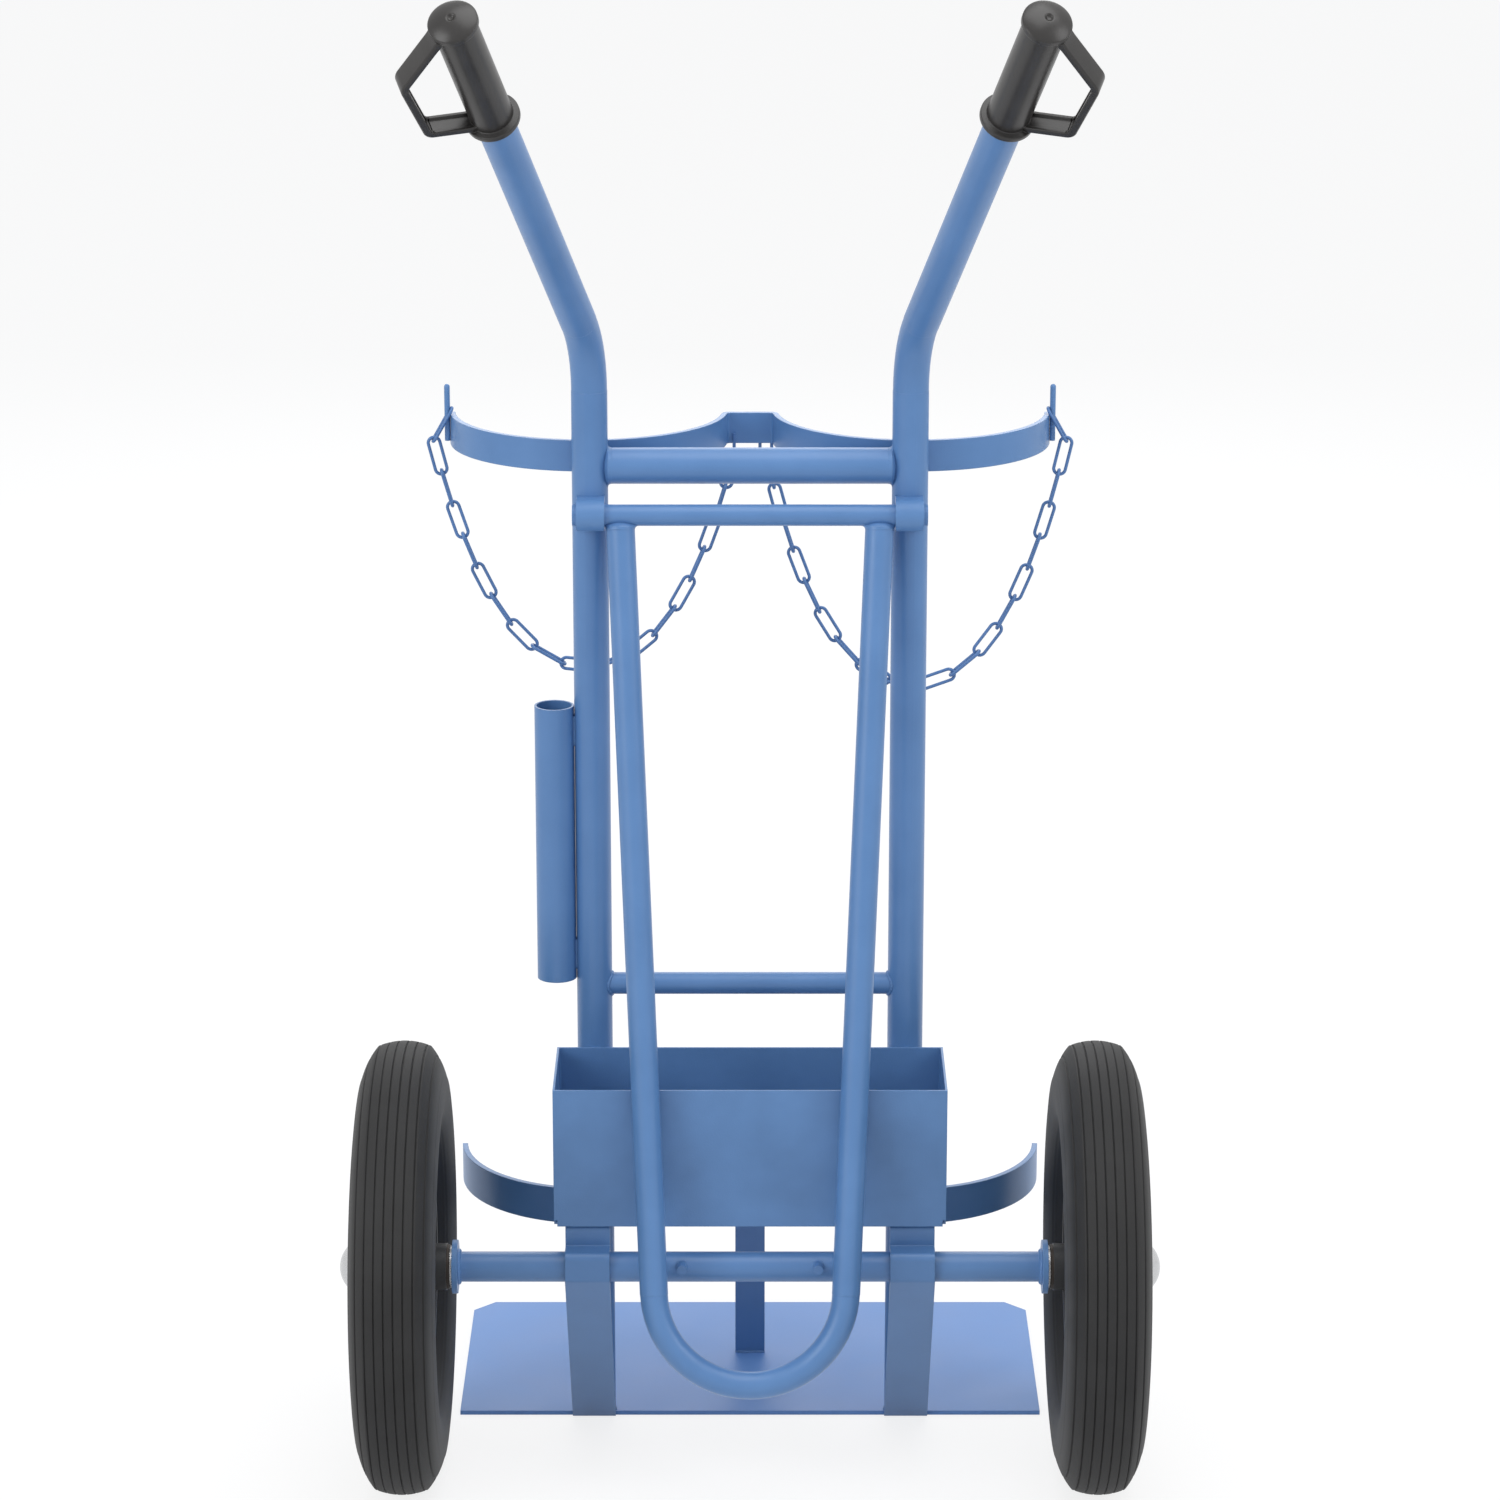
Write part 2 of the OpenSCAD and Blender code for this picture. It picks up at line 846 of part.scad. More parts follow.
module guard_run(a, b) {
    translate(a) rotate(atan2(b[1] - a[1], b[0] - a[0]))
        translate([0, -guard_t / 2]) square([norm(b - a), guard_t]);
}

module guard_shape() {
    inner = grip_d / 2 - guard_root;
    pts = [[inner, grip_len - tube_end_gap], [guard_reach, grip_len * guard_high],
        [guard_reach - guard_draw_in, grip_len * guard_low], [inner, guard_foot]];
    for (i = [0 : 2]) guard_run(pts[i], pts[i + 1]);
    for (i = [1, 2]) translate(pts[i]) circle(d = guard_t);
}

module grip() {
    cap_r = grip_cap_d / 2;
    dome_r = (cap_r * cap_r + grip_dome_h * grip_dome_h) / (2 * grip_dome_h);
    cap_z = grip_len - grip_dome_h;
    color(black) handle_frame() translate([0, 0, bend_z]) rotate([0, handle_tilt, 0])
        rotate([0, 0, guard_roll]) translate([0, 0, grip_start]) difference() {
            union() {
                cylinder(d = grip_d, h = cap_z);
                cylinder(d = grip_flange_d, h = grip_flange_t);
                translate([0, 0, cap_z - grip_flange_t])
                    cylinder(r = cap_r, h = grip_flange_t);
                intersection() {
                    translate([0, 0, grip_len - dome_r]) sphere(r = dome_r);
                    translate([0, 0, cap_z]) cylinder(r = cap_r, h = 2 * grip_dome_h);
                }
                rotate([90, 0, 0]) linear_extrude(guard_w, center = true) guard_shape();
            }
            translate([0, 0, -eps])
                cylinder(r = tube_r + press_fit, h = eps + grip_len - tube_end_gap + press_fit);
        }
}

module grip_left() {
    left() grip();
}

module grip_right() {
    grip();
}

// Chains

module chain_peg() {
    color(blue) translate([cradle_x, cradle_y, 0]) rotate([0, 0, -peg_angle])
        translate([peg_rad, 0, peg_top - peg_len]) {
            cylinder(r = peg_r, h = peg_len - peg_r);
            translate([0, 0, peg_len - peg_r]) sphere(r = peg_r);
        }
}

module chain_peg_left() {
    left() chain_peg();
}

module chain_peg_right() {
    chain_peg();
}

// Link centred on the origin, long in X, open along Z
module chain_link() {
    half = link_len / 2 - link_r;
    for (s = [0, 180]) rotate([0, 0, s]) {
        translate([-half, link_r, 0]) along_x() cylinder(r = wire_r, h = 2 * half);
        translate([half, 0, 0]) rotate([0, 0, -90]) rotate_extrude(angle = 180)
            translate([link_r, 0]) circle(r = wire_r);
    }
}

module end_link() {
    color(blue) translate([cradle_x, cradle_y, 0]) rotate([0, 0, -peg_angle])
        translate([(hook_in_rad + hook_out_rad) / 2, 0, (hook_in_z + hook_out_z) / 2])
            rotate([0, end_link_slope, 0]) chain_link();
}

module end_link_left() {
    left() end_link();
}

module end_link_right() {
    end_link();
}

// Staple with its bow downwards and its legs in the X direction
module staple(r, leg) {
    rotate([90, 0, 0]) rotate([0, 0, 180]) rotate_extrude(angle = 180)
        translate([r, 0]) circle(r = wire_r);
    for (s = [-1, 1]) translate([s * r, 0, 0]) cylinder(r = wire_r, h = leg);
}

module chain_eye_left() {
    color(blue) translate([-eye_x, bridge_y, eye_z + eye_r]) rotate([0, 0, 90])
        staple(eye_r, upper_band_bottom + upper_band_h / 3 - eye_z - eye_r);
}

module chain_eye_right() {
    color(blue) translate([eye_x, bridge_y, eye_z + link_r])
        staple(link_r, upper_band_bottom - weld_gap - eye_z - link_r);
}

function sh(x) = (exp(x) - exp(-x)) / 2;
function ash(x) = ln(x + sqrt(x * x + 1));

// Slack curve's size by halving: its run must equal the chain's length
function slack(goal, span, lo, hi, n) = n == 0 ? (lo + hi) / 2 :
    (lo + hi) * sh(span / (lo + hi)) > goal ?
        slack(goal, span, (lo + hi) / 2, hi, n - 1) :
        slack(goal, span, lo, (lo + hi) / 2, n - 1);

module chain(n) {
    goal = sqrt(pow(n * link_pitch, 2) - chain_rise * chain_rise);
    a = slack(goal, chain_span, chain_span / slack_most, chain_span * slack_least, halvings);
    x0 = chain_span / 2 - a * ash(chain_rise / goal);
    s0 = a * sh(-x0 / a);
    pts = [for (i = [0 : n]) let (s = s0 + i * link_pitch)
        [x0 + a * ash(s / a), sqrt(a * a + s * s) - sqrt(a * a + s0 * s0)]];
    color(blue) translate([hook_x, hook_y, chain_start_z]) rotate([0, 0, chain_az])
        for (i = [0 : n - 1]) {
            d = pts[i + 1] - pts[i];
            m = (pts[i + 1] + pts[i]) / 2;
            translate([m[0], 0, m[1]]) rotate([0, -atan2(d[1], d[0]), 0])
                rotate([i % 2 == 0 ? 90 : 0, 0, 0]) chain_link();
        }
}

module chain_left() {
    left() chain(links_left);
}

module chain_right() {
    chain(links_right);
}

upright_left();
upright_right();
upper_crossbar();
lower_crossbar();
base_plate();
axle_tube();
axle_flange_left();
axle_flange_right();
axle_rod();
axle_washers();
axle_cap_left();
axle_cap_right();
axle_bracket_left();
axle_bracket_right();
guide_pins();
upper_cradle();
lower_cradle();
centre_strut();
tool_box();
rod_tube();
pivot_strap_left();
pivot_strap_right();
chain_peg_left();
chain_peg_right();
end_link_left();
end_link_right();
chain_eye_left();
chain_eye_right();
chain_left();
chain_right();
stand_frame();
stand_pivot_bar();
grip_left();
grip_right();
tyre_left();
tyre_right();
inner_tube_left();
inner_tube_right();
valve_left();
valve_right();
rim_left();
rim_right();
hub_bushes_left();
hub_bushes_right();
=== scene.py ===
"""Gas cylinder trolley, seen from behind: blue powder-coated steel on two ribbed wheels."""

from math import radians

import bpy
import numpy as np
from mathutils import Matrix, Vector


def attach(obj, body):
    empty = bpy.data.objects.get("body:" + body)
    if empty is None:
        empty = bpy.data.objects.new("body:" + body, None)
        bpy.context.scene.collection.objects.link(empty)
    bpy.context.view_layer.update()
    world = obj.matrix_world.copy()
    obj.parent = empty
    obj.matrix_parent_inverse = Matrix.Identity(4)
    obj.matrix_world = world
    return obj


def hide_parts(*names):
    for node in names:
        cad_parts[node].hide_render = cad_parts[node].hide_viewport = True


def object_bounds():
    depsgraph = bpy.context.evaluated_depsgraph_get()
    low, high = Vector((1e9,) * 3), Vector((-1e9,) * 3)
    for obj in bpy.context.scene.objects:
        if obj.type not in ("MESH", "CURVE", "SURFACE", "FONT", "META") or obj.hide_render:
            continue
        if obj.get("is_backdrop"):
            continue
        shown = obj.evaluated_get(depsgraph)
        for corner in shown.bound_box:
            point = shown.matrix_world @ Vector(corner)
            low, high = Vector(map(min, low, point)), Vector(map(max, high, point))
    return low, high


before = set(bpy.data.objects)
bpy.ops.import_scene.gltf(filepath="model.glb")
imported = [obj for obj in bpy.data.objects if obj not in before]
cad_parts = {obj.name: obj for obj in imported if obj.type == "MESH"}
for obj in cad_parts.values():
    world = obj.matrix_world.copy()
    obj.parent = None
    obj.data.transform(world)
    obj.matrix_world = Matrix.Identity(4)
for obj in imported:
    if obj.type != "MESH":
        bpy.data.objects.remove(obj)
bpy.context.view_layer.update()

# Camera
# A long lens stands some four metres behind the trolley, above the grips, and looks
# down its middle line, so that both tyres show their treads and the box its inside.

focal_length_px, photo_width_px = 4850, 1500
camera_place, looks_down_by = (0.0, -4.296, 1.863), 16.29
lens = bpy.data.cameras.new("long_lens")
lens.sensor_width = 36.0
lens.lens = focal_length_px / photo_width_px * lens.sensor_width
stand_point = bpy.data.objects.new("camera_behind_trolley", lens)
stand_point.location = camera_place
stand_point.rotation_euler = (radians(90 - looks_down_by), 0.0, 0.0)
bpy.context.scene.collection.objects.link(stand_point)
bpy.context.scene.camera = stand_point
bpy.context.scene.view_settings.view_transform = "Standard"

# Floor, daylight and lamps
# A white studio floor that still takes the trolley's shadow, a white room behind it, and
# four large soft lamps: overhead, at each side of the camera, and beyond the trolley.


def sheet_of(name, corners):
    """A flat four-cornered sheet through the given points."""
    mesh = bpy.data.meshes.new(name)
    mesh.from_pydata(corners, [], [(0, 1, 2, 3)])
    sheet = bpy.data.objects.new(name, mesh)
    bpy.context.scene.collection.objects.link(sheet)
    return sheet


def join(tree, source, target):
    """Runs one socket into another."""
    tree.links.new(source, target)


def white_to_the_eye(tree):
    """1 where a ray comes from the camera, a mirror or clear stuff, else 0."""
    path = tree.nodes.new("ShaderNodeLightPath")
    either = tree.nodes.new("ShaderNodeMath")
    either.operation = "MAXIMUM"
    any_of = tree.nodes.new("ShaderNodeMath")
    any_of.operation = "MAXIMUM"
    join(tree, path.outputs["Is Camera Ray"], either.inputs[0])
    join(tree, path.outputs["Is Glossy Ray"], either.inputs[1])
    join(tree, either.outputs[0], any_of.inputs[0])
    join(tree, path.outputs["Is Transmission Ray"], any_of.inputs[1])
    return any_of.outputs[0]


floor_glow, glow_share = 1.08, 0.74


def studio_floor():
    """Matt white floor; to the eye most of it glows, so the shadow on it stays light."""
    finish = bpy.data.materials.new("studio_floor")
    finish.use_nodes = True
    tree = finish.node_tree
    tree.nodes.clear()
    matt = tree.nodes.new("ShaderNodeBsdfDiffuse")
    matt.inputs["Color"].default_value = (0.86, 0.86, 0.87, 1.0)
    glow = tree.nodes.new("ShaderNodeEmission")
    glow.inputs["Color"].default_value = (1.0, 1.0, 1.0, 1.0)
    glow.inputs["Strength"].default_value = floor_glow
    share = tree.nodes.new("ShaderNodeMath")
    share.operation = "MULTIPLY"
    share.inputs[1].default_value = glow_share
    both = tree.nodes.new("ShaderNodeMixShader")
    out = tree.nodes.new("ShaderNodeOutputMaterial")
    join(tree, white_to_the_eye(tree), share.inputs[0])
    join(tree, share.outputs[0], both.inputs[0])
    join(tree, matt.outputs[0], both.inputs[1])
    join(tree, glow.outputs[0], both.inputs[2])
    join(tree, both.outputs[0], out.inputs["Surface"])
    return finish


half_floor = 30.0
floor = sheet_of("studio_floor",
                 [(-half_floor, -half_floor, 0), (half_floor, -half_floor, 0),
                  (half_floor, half_floor, 0), (-half_floor, half_floor, 0)])
floor.data.materials.append(studio_floor())
floor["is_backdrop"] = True

room = bpy.data.worlds.new("white_room")
bpy.context.scene.world = room
room.use_nodes = True
room_tree = room.node_tree
room_tree.nodes.clear()
daylight = room_tree.nodes.new("ShaderNodeBackground")
daylight.inputs["Color"].default_value = (0.97, 0.985, 1.0, 1.0)
daylight.inputs["Strength"].default_value = 0.62
backdrop = room_tree.nodes.new("ShaderNodeBackground")
backdrop.inputs["Color"].default_value = (1.0, 1.0, 1.0, 1.0)
backdrop.inputs["Strength"].default_value = 1.0
room_mix = room_tree.nodes.new("ShaderNodeMixShader")
room_out = room_tree.nodes.new("ShaderNodeOutputWorld")
join(room_tree, white_to_the_eye(room_tree), room_mix.inputs[0])
join(room_tree, daylight.outputs[0], room_mix.inputs[1])
join(room_tree, backdrop.outputs[0], room_mix.inputs[2])
join(room_tree, room_mix.outputs[0], room_out.inputs["Surface"])


def soft_lamp(name, place, aim, size, watts):
    """A square soft box at a place, turned towards the point that it is aimed at."""
    lamp = bpy.data.lights.new(name, "AREA")
    lamp.size = size
    lamp.energy = watts
    holder = bpy.data.objects.new(name, lamp)
    away = np.array(place, float) - np.array(aim, float)
    flat = float(np.hypot(away[0], away[1]))
    holder.location = place
    holder.rotation_euler = (float(np.arctan2(flat, away[2])), 0.0,
                             float(np.arctan2(away[0], -away[1])))
    bpy.context.scene.collection.objects.link(holder)


soft_lamp("lamp_overhead", (0.4, -0.6, 3.6), (0.0, -0.1, 0.4), 2.4, 42)
soft_lamp("lamp_left", (-3.0, -2.6, 2.2), (0.0, -0.1, 0.6), 2.2, 52)
soft_lamp("lamp_right", (3.2, -1.8, 2.6), (0.0, -0.1, 0.6), 2.0, 34)
soft_lamp("lamp_front", (0.0, 3.6, 2.4), (0.0, 0.0, 0.6), 2.4, 30)

# Uprights and crossbars
# Two bent steel tubes carry everything, with a heavy and a light bar between them. All
# is welded, then powder-coated in one blue, whose skin shows a faint orange peel.


def new_effect(name, inputs, outputs):
    """An empty shader group with its number inputs and its named outputs."""
    group = bpy.data.node_groups.new(name, "ShaderNodeTree")
    for label, start in inputs:
        socket = group.interface.new_socket(label, in_out="INPUT",
                                            socket_type="NodeSocketFloat")
        socket.default_value = start
    for label, kind in outputs:
        group.interface.new_socket(label, in_out="OUTPUT", socket_type=kind)
    return group, group.nodes.new("NodeGroupInput"), group.nodes.new("NodeGroupOutput")


def sum_of(tree, operation, first, second):
    """One math step; each side is a socket or a plain number."""
    step = tree.nodes.new("ShaderNodeMath")
    step.operation = operation
    for slot, value in enumerate((first, second)):
        if isinstance(value, (int, float)):
            step.inputs[slot].default_value = value
        else:
            join(tree, value, step.inputs[slot])
    return step.outputs[0]


def mottle_effect():
    """Cloudy noise in metres: grain cells of one size for the skin, and broad clouds."""
    group, given, made = new_effect(
        "mottle", [("Cell", 0.001), ("Cloud", 0.08)],
        [("Skin", "NodeSocketFloat"), ("Clouds", "NodeSocketFloat")])
    spot = group.nodes.new("ShaderNodeTexCoord")
    for label, out, detail in (("Cell", "Skin", 2.0), ("Cloud", "Clouds", 3.0)):
        noise = group.nodes.new("ShaderNodeTexNoise")
        noise.inputs["Detail"].default_value = detail
        noise.inputs["Roughness"].default_value = 0.55
        join(group, spot.outputs["Object"], noise.inputs["Vector"])
        join(group, sum_of(group, "DIVIDE", 1.0, given.outputs[label]),
             noise.inputs["Scale"])
        join(group, noise.outputs[0], made.inputs[out])
    return group


def broken_edge_effect():
    """Rounds sharp edges for the light, and marks them for the painted edge highlight: one
    less the product of the rounded and the true direction, times a gain."""
    group, given, made = new_effect(
        "broken_edge", [("Radius", 0.001), ("Gain", 6.0)],
        [("Normal", "NodeSocketVector"), ("Edge_Highlight", "NodeSocketFloat")])
    rounded = group.nodes.new("ShaderNodeBevel")
    rounded.samples = 4
    true_face = group.nodes.new("ShaderNodeNewGeometry")
    match = group.nodes.new("ShaderNodeVectorMath")
    match.operation = "DOT_PRODUCT"
    join(group, given.outputs["Radius"], rounded.inputs["Radius"])
    join(group, rounded.outputs[0], match.inputs[0])
    join(group, true_face.outputs["Normal"], match.inputs[1])
    off = sum_of(group, "SUBTRACT", 1.0, match.outputs["Value"])
    strong = sum_of(group, "MULTIPLY", off, given.outputs["Gain"])
    join(group, sum_of(group, "MINIMUM", strong, 1.0), made.inputs["Edge_Highlight"])
    join(group, rounded.outputs[0], made.inputs["Normal"])
    return group


mottle = mottle_effect()
broken_edge = broken_edge_effect()


def effect(tree, group, **values):
    """Puts a group in a material with its own values."""
    node = tree.nodes.new("ShaderNodeGroup")
    node.node_tree = group
    for label, value in values.items():
        node.inputs[label].default_value = value
    return node


def between(tree, share, low, high):
    """Runs a 0 to 1 value onto a range."""
    spread = tree.nodes.new("ShaderNodeMapRange")
    spread.inputs["To Min"].default_value = low
    spread.inputs["To Max"].default_value = high
    join(tree, share, spread.inputs["Value"])
    return spread.outputs[0]


def blend_colour(tree, share, low, high):
    """Mixes two colours; each is a colour or a socket."""
    mix = tree.nodes.new("ShaderNodeMix")
    mix.data_type = "RGBA"
    join(tree, share, mix.inputs[0])
    for slot, value in ((6, low), (7, high)):
        if isinstance(value, tuple):
            mix.inputs[slot].default_value = (*value, 1.0)
        else:
            join(tree, value, mix.inputs[slot])
    return mix.outputs[2]


def new_finish(name):
    """A material with nothing in it but its Principled shader."""
    finish = bpy.data.materials.new(name)
    finish.use_nodes = True
    return finish, finish.node_tree, finish.node_tree.nodes["Principled BSDF"]


def raised(tree, height, depth, under=None):
    """Bump of a depth in metres over an already rounded normal."""
    bump = tree.nodes.new("ShaderNodeBump")
    bump.inputs["Distance"].default_value = depth
    join(tree, height, bump.inputs["Height"])
    if under is not None:
        join(tree, under, bump.inputs["Normal"])
    return bump.outputs[0]


def painted_steel(name, dark, light, painted_edge_highlight, rough=(0.28, 0.4), cell=0.0011,
                  depth=0.00012, edge=0.0012):
    """Powder coat: clouded colour, orange peel, and a painted highlight along sharp edges.
    """
    finish, tree, paint = new_finish(name)
    skin = effect(tree, mottle, Cell=cell, Cloud=0.07)
    rim = effect(tree, broken_edge, Radius=edge, Gain=4.0)
    clouded = blend_colour(tree, between(tree, skin.outputs["Clouds"], -0.6, 1.6),
                           dark, light)
    # Painted highlight: sharp edges take the lighter edge colour in specks, standing for
    # the bright lines that light draws along them.
    highlight_specks = sum_of(tree, "MULTIPLY", rim.outputs["Edge_Highlight"],
                   between(tree, skin.outputs["Skin"], 0.1, 0.75))
    join(tree, blend_colour(tree, highlight_specks, clouded, painted_edge_highlight), paint.inputs["Base Color"])
    join(tree, between(tree, skin.outputs["Clouds"], *rough), paint.inputs["Roughness"])
    join(tree, raised(tree, skin.outputs["Skin"], depth, rim.outputs["Normal"]),
         paint.inputs["Normal"])
    paint.inputs["Specular IOR Level"].default_value = 0.45
    return finish


def finish_on(finish, *names):
    """Gives the frame's own pieces their better finish."""
    for name in names:
        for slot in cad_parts[name].material_slots:
            slot.material = finish


frame_blue = painted_steel("blue_powder_coat", (0.086, 0.2, 0.425), (0.104, 0.23, 0.475),
                           (0.19, 0.34, 0.6))
finish_on(frame_blue, "upright_left", "upright_right", "upper_crossbar", "lower_crossbar")


def skin_over(points, round_path):
    """Quads over a grid of points: rows along the path, columns round the section.
    A path that isn't closed gets one more point in the middle of each end."""
    rows, columns = points.shape[:2]
    row, column = np.meshgrid(np.arange(rows if round_path else rows - 1),
                              np.arange(columns), indexing="ij")
    beyond, beside = (row + 1) % rows, (column + 1) % columns
    quads = np.stack([row * columns + column, row * columns + beside,
                      beyond * columns + beside, beyond * columns + column],
                     axis=-1).reshape(-1, 4)
    spots = points.reshape(-1, 3)
    if round_path:
        return spots, [quads]
    ends = np.stack([points[0].mean(0), points[-1].mean(0)])
    around = np.arange(columns)
    beside = (around + 1) % columns
    first = np.stack([around * 0 + len(spots), beside, around], axis=-1)
    last = np.stack([around * 0 + len(spots) + 1, around + (rows - 1) * columns,
                     beside + (rows - 1) * columns], axis=-1)
    return np.concatenate([spots, ends]), [quads, first, last]


def outward(spots, faces):
    """Turns every face round if the closed form's volume comes out negative."""
    thirds = np.concatenate([f[:, [0, i, i + 1]] for f in faces
                             for i in range(1, f.shape[1] - 1)])
    a, b, c = spots[thirds[:, 0]], spots[thirds[:, 1]], spots[thirds[:, 2]]
    if (a * np.cross(b, c)).sum() < 0:
        faces = [f[:, ::-1] for f in faces]
    return faces


def piece_from(name, forms, finish, body, round_edges=True):
    """One mesh of several closed forms, in place, with its finish, slot and body."""
    spots, faces, start = [], [], 0
    for form_spots, form_faces in forms:
        for block in outward(form_spots, form_faces):
            faces.extend((block + start).tolist())
        spots.append(form_spots)
        start += len(form_spots)
    mesh = bpy.data.meshes.new(name)
    mesh.from_pydata(np.concatenate(spots).tolist(), [], faces)
    mesh.polygons.foreach_set("use_smooth", np.full(len(faces), round_edges))
    mesh.materials.append(finish)
    mesh.update()
    piece = bpy.data.objects.new(name, mesh)
    bpy.context.scene.collection.objects.link(piece)
    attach(piece, body)
    return piece


weld_ripple, sections_a_ripple = 0.0026, 4


def bead(path, radius, round_path=False, side=None):
    """A weld bead: a round section carried along a path, swelling and shrinking once
    for each ripple. Points are path + r (cos b across + sin b up)."""
    ahead = np.roll(path, -1, 0) - np.roll(path, 1, 0)
    if not round_path:
        ahead[0], ahead[-1] = path[1] - path[0], path[-1] - path[-2]
    ahead /= np.linalg.norm(ahead, axis=1, keepdims=True)
    hint = np.array(side if side is not None else (0.0, 0.0, 1.0))
    across = np.cross(ahead, hint)
    across /= np.linalg.norm(across, axis=1, keepdims=True)
    up = np.cross(across, ahead)
    run = np.concatenate([[0], np.cumsum(np.linalg.norm(np.diff(path, axis=0), axis=1))])
    swell = radius * (1 + 0.16 * np.abs(np.sin(np.pi * run / weld_ripple)))
    if not round_path:
        swell = swell * np.clip(np.sqrt(np.sin(np.pi * np.linspace(0.02, 0.98, len(path))))
                                * 1.6, 0.3, 1.0)
    turn = np.linspace(0, 2 * np.pi, 10, endpoint=False)
    points = (path[:, None] + swell[:, None, None] *
              (np.cos(turn)[None, :, None] * across[:, None] +
               np.sin(turn)[None, :, None] * up[:, None]))
    return skin_over(points, round_path)


def straight_bead(start, end, radius):
    """Bead between two points: start plus (end less start) times a share from 0 to 1."""
    start, end = np.array(start, float), np.array(end, float)
    length = np.linalg.norm(end - start)
    count = max(int(length / weld_ripple * sections_a_ripple), 8)
    side = (1.0, 0.0, 0.0) if abs(end - start)[2] > abs(end - start)[0] else (0, 0, 1.0)
    return bead(start + (end - start) * np.linspace(0, 1, count)[:, None], radius,
                side=side)


def ring_bead(centre, radius, weld, first=0.0, last=360.0, along="z"):
    """Bead round an axis through a centre, whole or between two angles."""
    whole = last - first >= 360
    length = radius * radians(last - first)
    count = max(int(length / weld_ripple * sections_a_ripple), 24)
    turn = np.radians(np.linspace(first, last, count, endpoint=not whole))
    flat = np.stack([np.cos(turn), np.sin(turn), turn * 0], axis=-1) * radius
    order = {"z": [0, 1, 2], "x": [2, 0, 1], "y": [0, 2, 1]}[along]
    axis = {"z": (0, 0, 1.0), "x": (1.0, 0, 0), "y": (0, 1.0, 0)}[along]
    return bead(np.array(centre, float) + flat[:, order], weld, whole, side=axis)


post_x, post_y, post_radius = 0.141, -0.129, 0.016


def saddle_bead(bar_radius, height, side, weld):
    """Bead where a level bar ends against a post. Round the bar by angle a: across is
    post_x less the root of post radius squared less (bar radius cos a) squared."""
    turn = np.linspace(0, 2 * np.pi, 160, endpoint=False)
    y, z = bar_radius * np.cos(turn), bar_radius * np.sin(turn)
    x = post_x - np.sqrt(np.maximum(post_radius ** 2 - y ** 2, 4e-6))
    path = np.stack([side * x, post_y + y, height + z], axis=-1)
    return bead(path, weld, True, side=(1.0, 0.0, 0.0))


weld_blue = painted_steel("blue_coat_on_welds", (0.082, 0.19, 0.405), (0.1, 0.222, 0.46),
                          (0.16, 0.3, 0.55), rough=(0.32, 0.46), cell=0.0016,
                          depth=0.0003, edge=0.0006)


def fillet_round_end(radius, leg, other, other_radius, sink):
    """Weld that fills the gap between a bar's square end and the round tube it butts
    against. The bar's end is at 0 on the first axis, and the tube's axis runs along the
    third. Round the bar by angle a the section is a curve from (-leg, r cos a, r sin a)
    by (0, r cos a, r sin a) to the tube, at (x, s r cos a, (r + leg) sin a), where x is
    other_radius less the root of its square less (s r cos a) squared."""
    turn = np.linspace(0, 2 * np.pi, 96, endpoint=False)
    y, z = radius * np.cos(turn), radius * np.sin(turn)
    far_y, far_z = y * sink, (radius + leg) * np.sin(turn)
    far_x = other + other_radius - np.sqrt(other_radius ** 2 - far_y ** 2)
    start = np.stack([y * 0 - leg, y, z], axis=-1)
    knee = np.stack([y * 0 + other, y * 0.98, z * 1.01], axis=-1)
    end = np.stack([far_x, far_y, far_z], axis=-1)
    root = np.stack([far_x + 0.001, far_y * 0.8, z * 0.86], axis=-1)
    under = np.stack([y * 0 - leg, y * 0.94, z * 0.94], axis=-1)
    share = np.linspace(0, 1, 7)[None, :, None]
    curve = ((1 - share) ** 2 * start[:, None] + 2 * share * (1 - share) * knee[:, None]
             + share ** 2 * end[:, None])
    return np.concatenate([curve, root[:, None], under[:, None]], axis=1)


upper_height, bar_end = 0.906, 0.1249
lower_height, lower_bar_radius, lower_bead = 0.425, 0.010, 0.0015
butt_leg, butt_gap = 0.0035, 0.0001
crossbar_welds = [saddle_bead(lower_bar_radius, lower_height, side, lower_bead)
                  for side in (-1, 1)]
for side in (-1, 1):
    grid = fillet_round_end(post_radius, butt_leg, butt_gap, post_radius, 0.6)
    grid = grid * [side, 1, 1] + [side * bar_end, post_y, upper_height]
    crossbar_welds.append(skin_over(grid, True))
piece_from("crossbar_welds", crossbar_welds, weld_blue, "frame")

# Base plate
# A 4 mm steel plate that the cylinders stand on, cropped at its two front corners. The
# posts stand on its rear edge, each with a half-round bead in front of its foot.

plate_top, foot_bead = 0.004, 0.002
# Painted light: the plate wears the frame's one blue, but it is given a lighter coat for
# the sky light and reflection on its upward face.
plate_blue_lit = painted_steel("blue_coat_lit_on_plate", (0.12, 0.26, 0.585), (0.135, 0.285, 0.62),
                           (0.24, 0.41, 0.72), rough=(0.38, 0.56), cell=0.0014)
finish_on(plate_blue_lit, "base_plate")
foot_welds = [ring_bead((side * post_x, post_y, plate_top), post_radius, foot_bead, 4,
                        176)
              for side in (-1, 1)]
piece_from("post_foot_welds", foot_welds, weld_blue, "frame")

# Cradles and centre strut
# Flat 5 mm bands, rolled to the cylinders' curve and pinched to a bridge in the
# middle. They lie against the posts, and a flat strut joins their bridges to the plate.

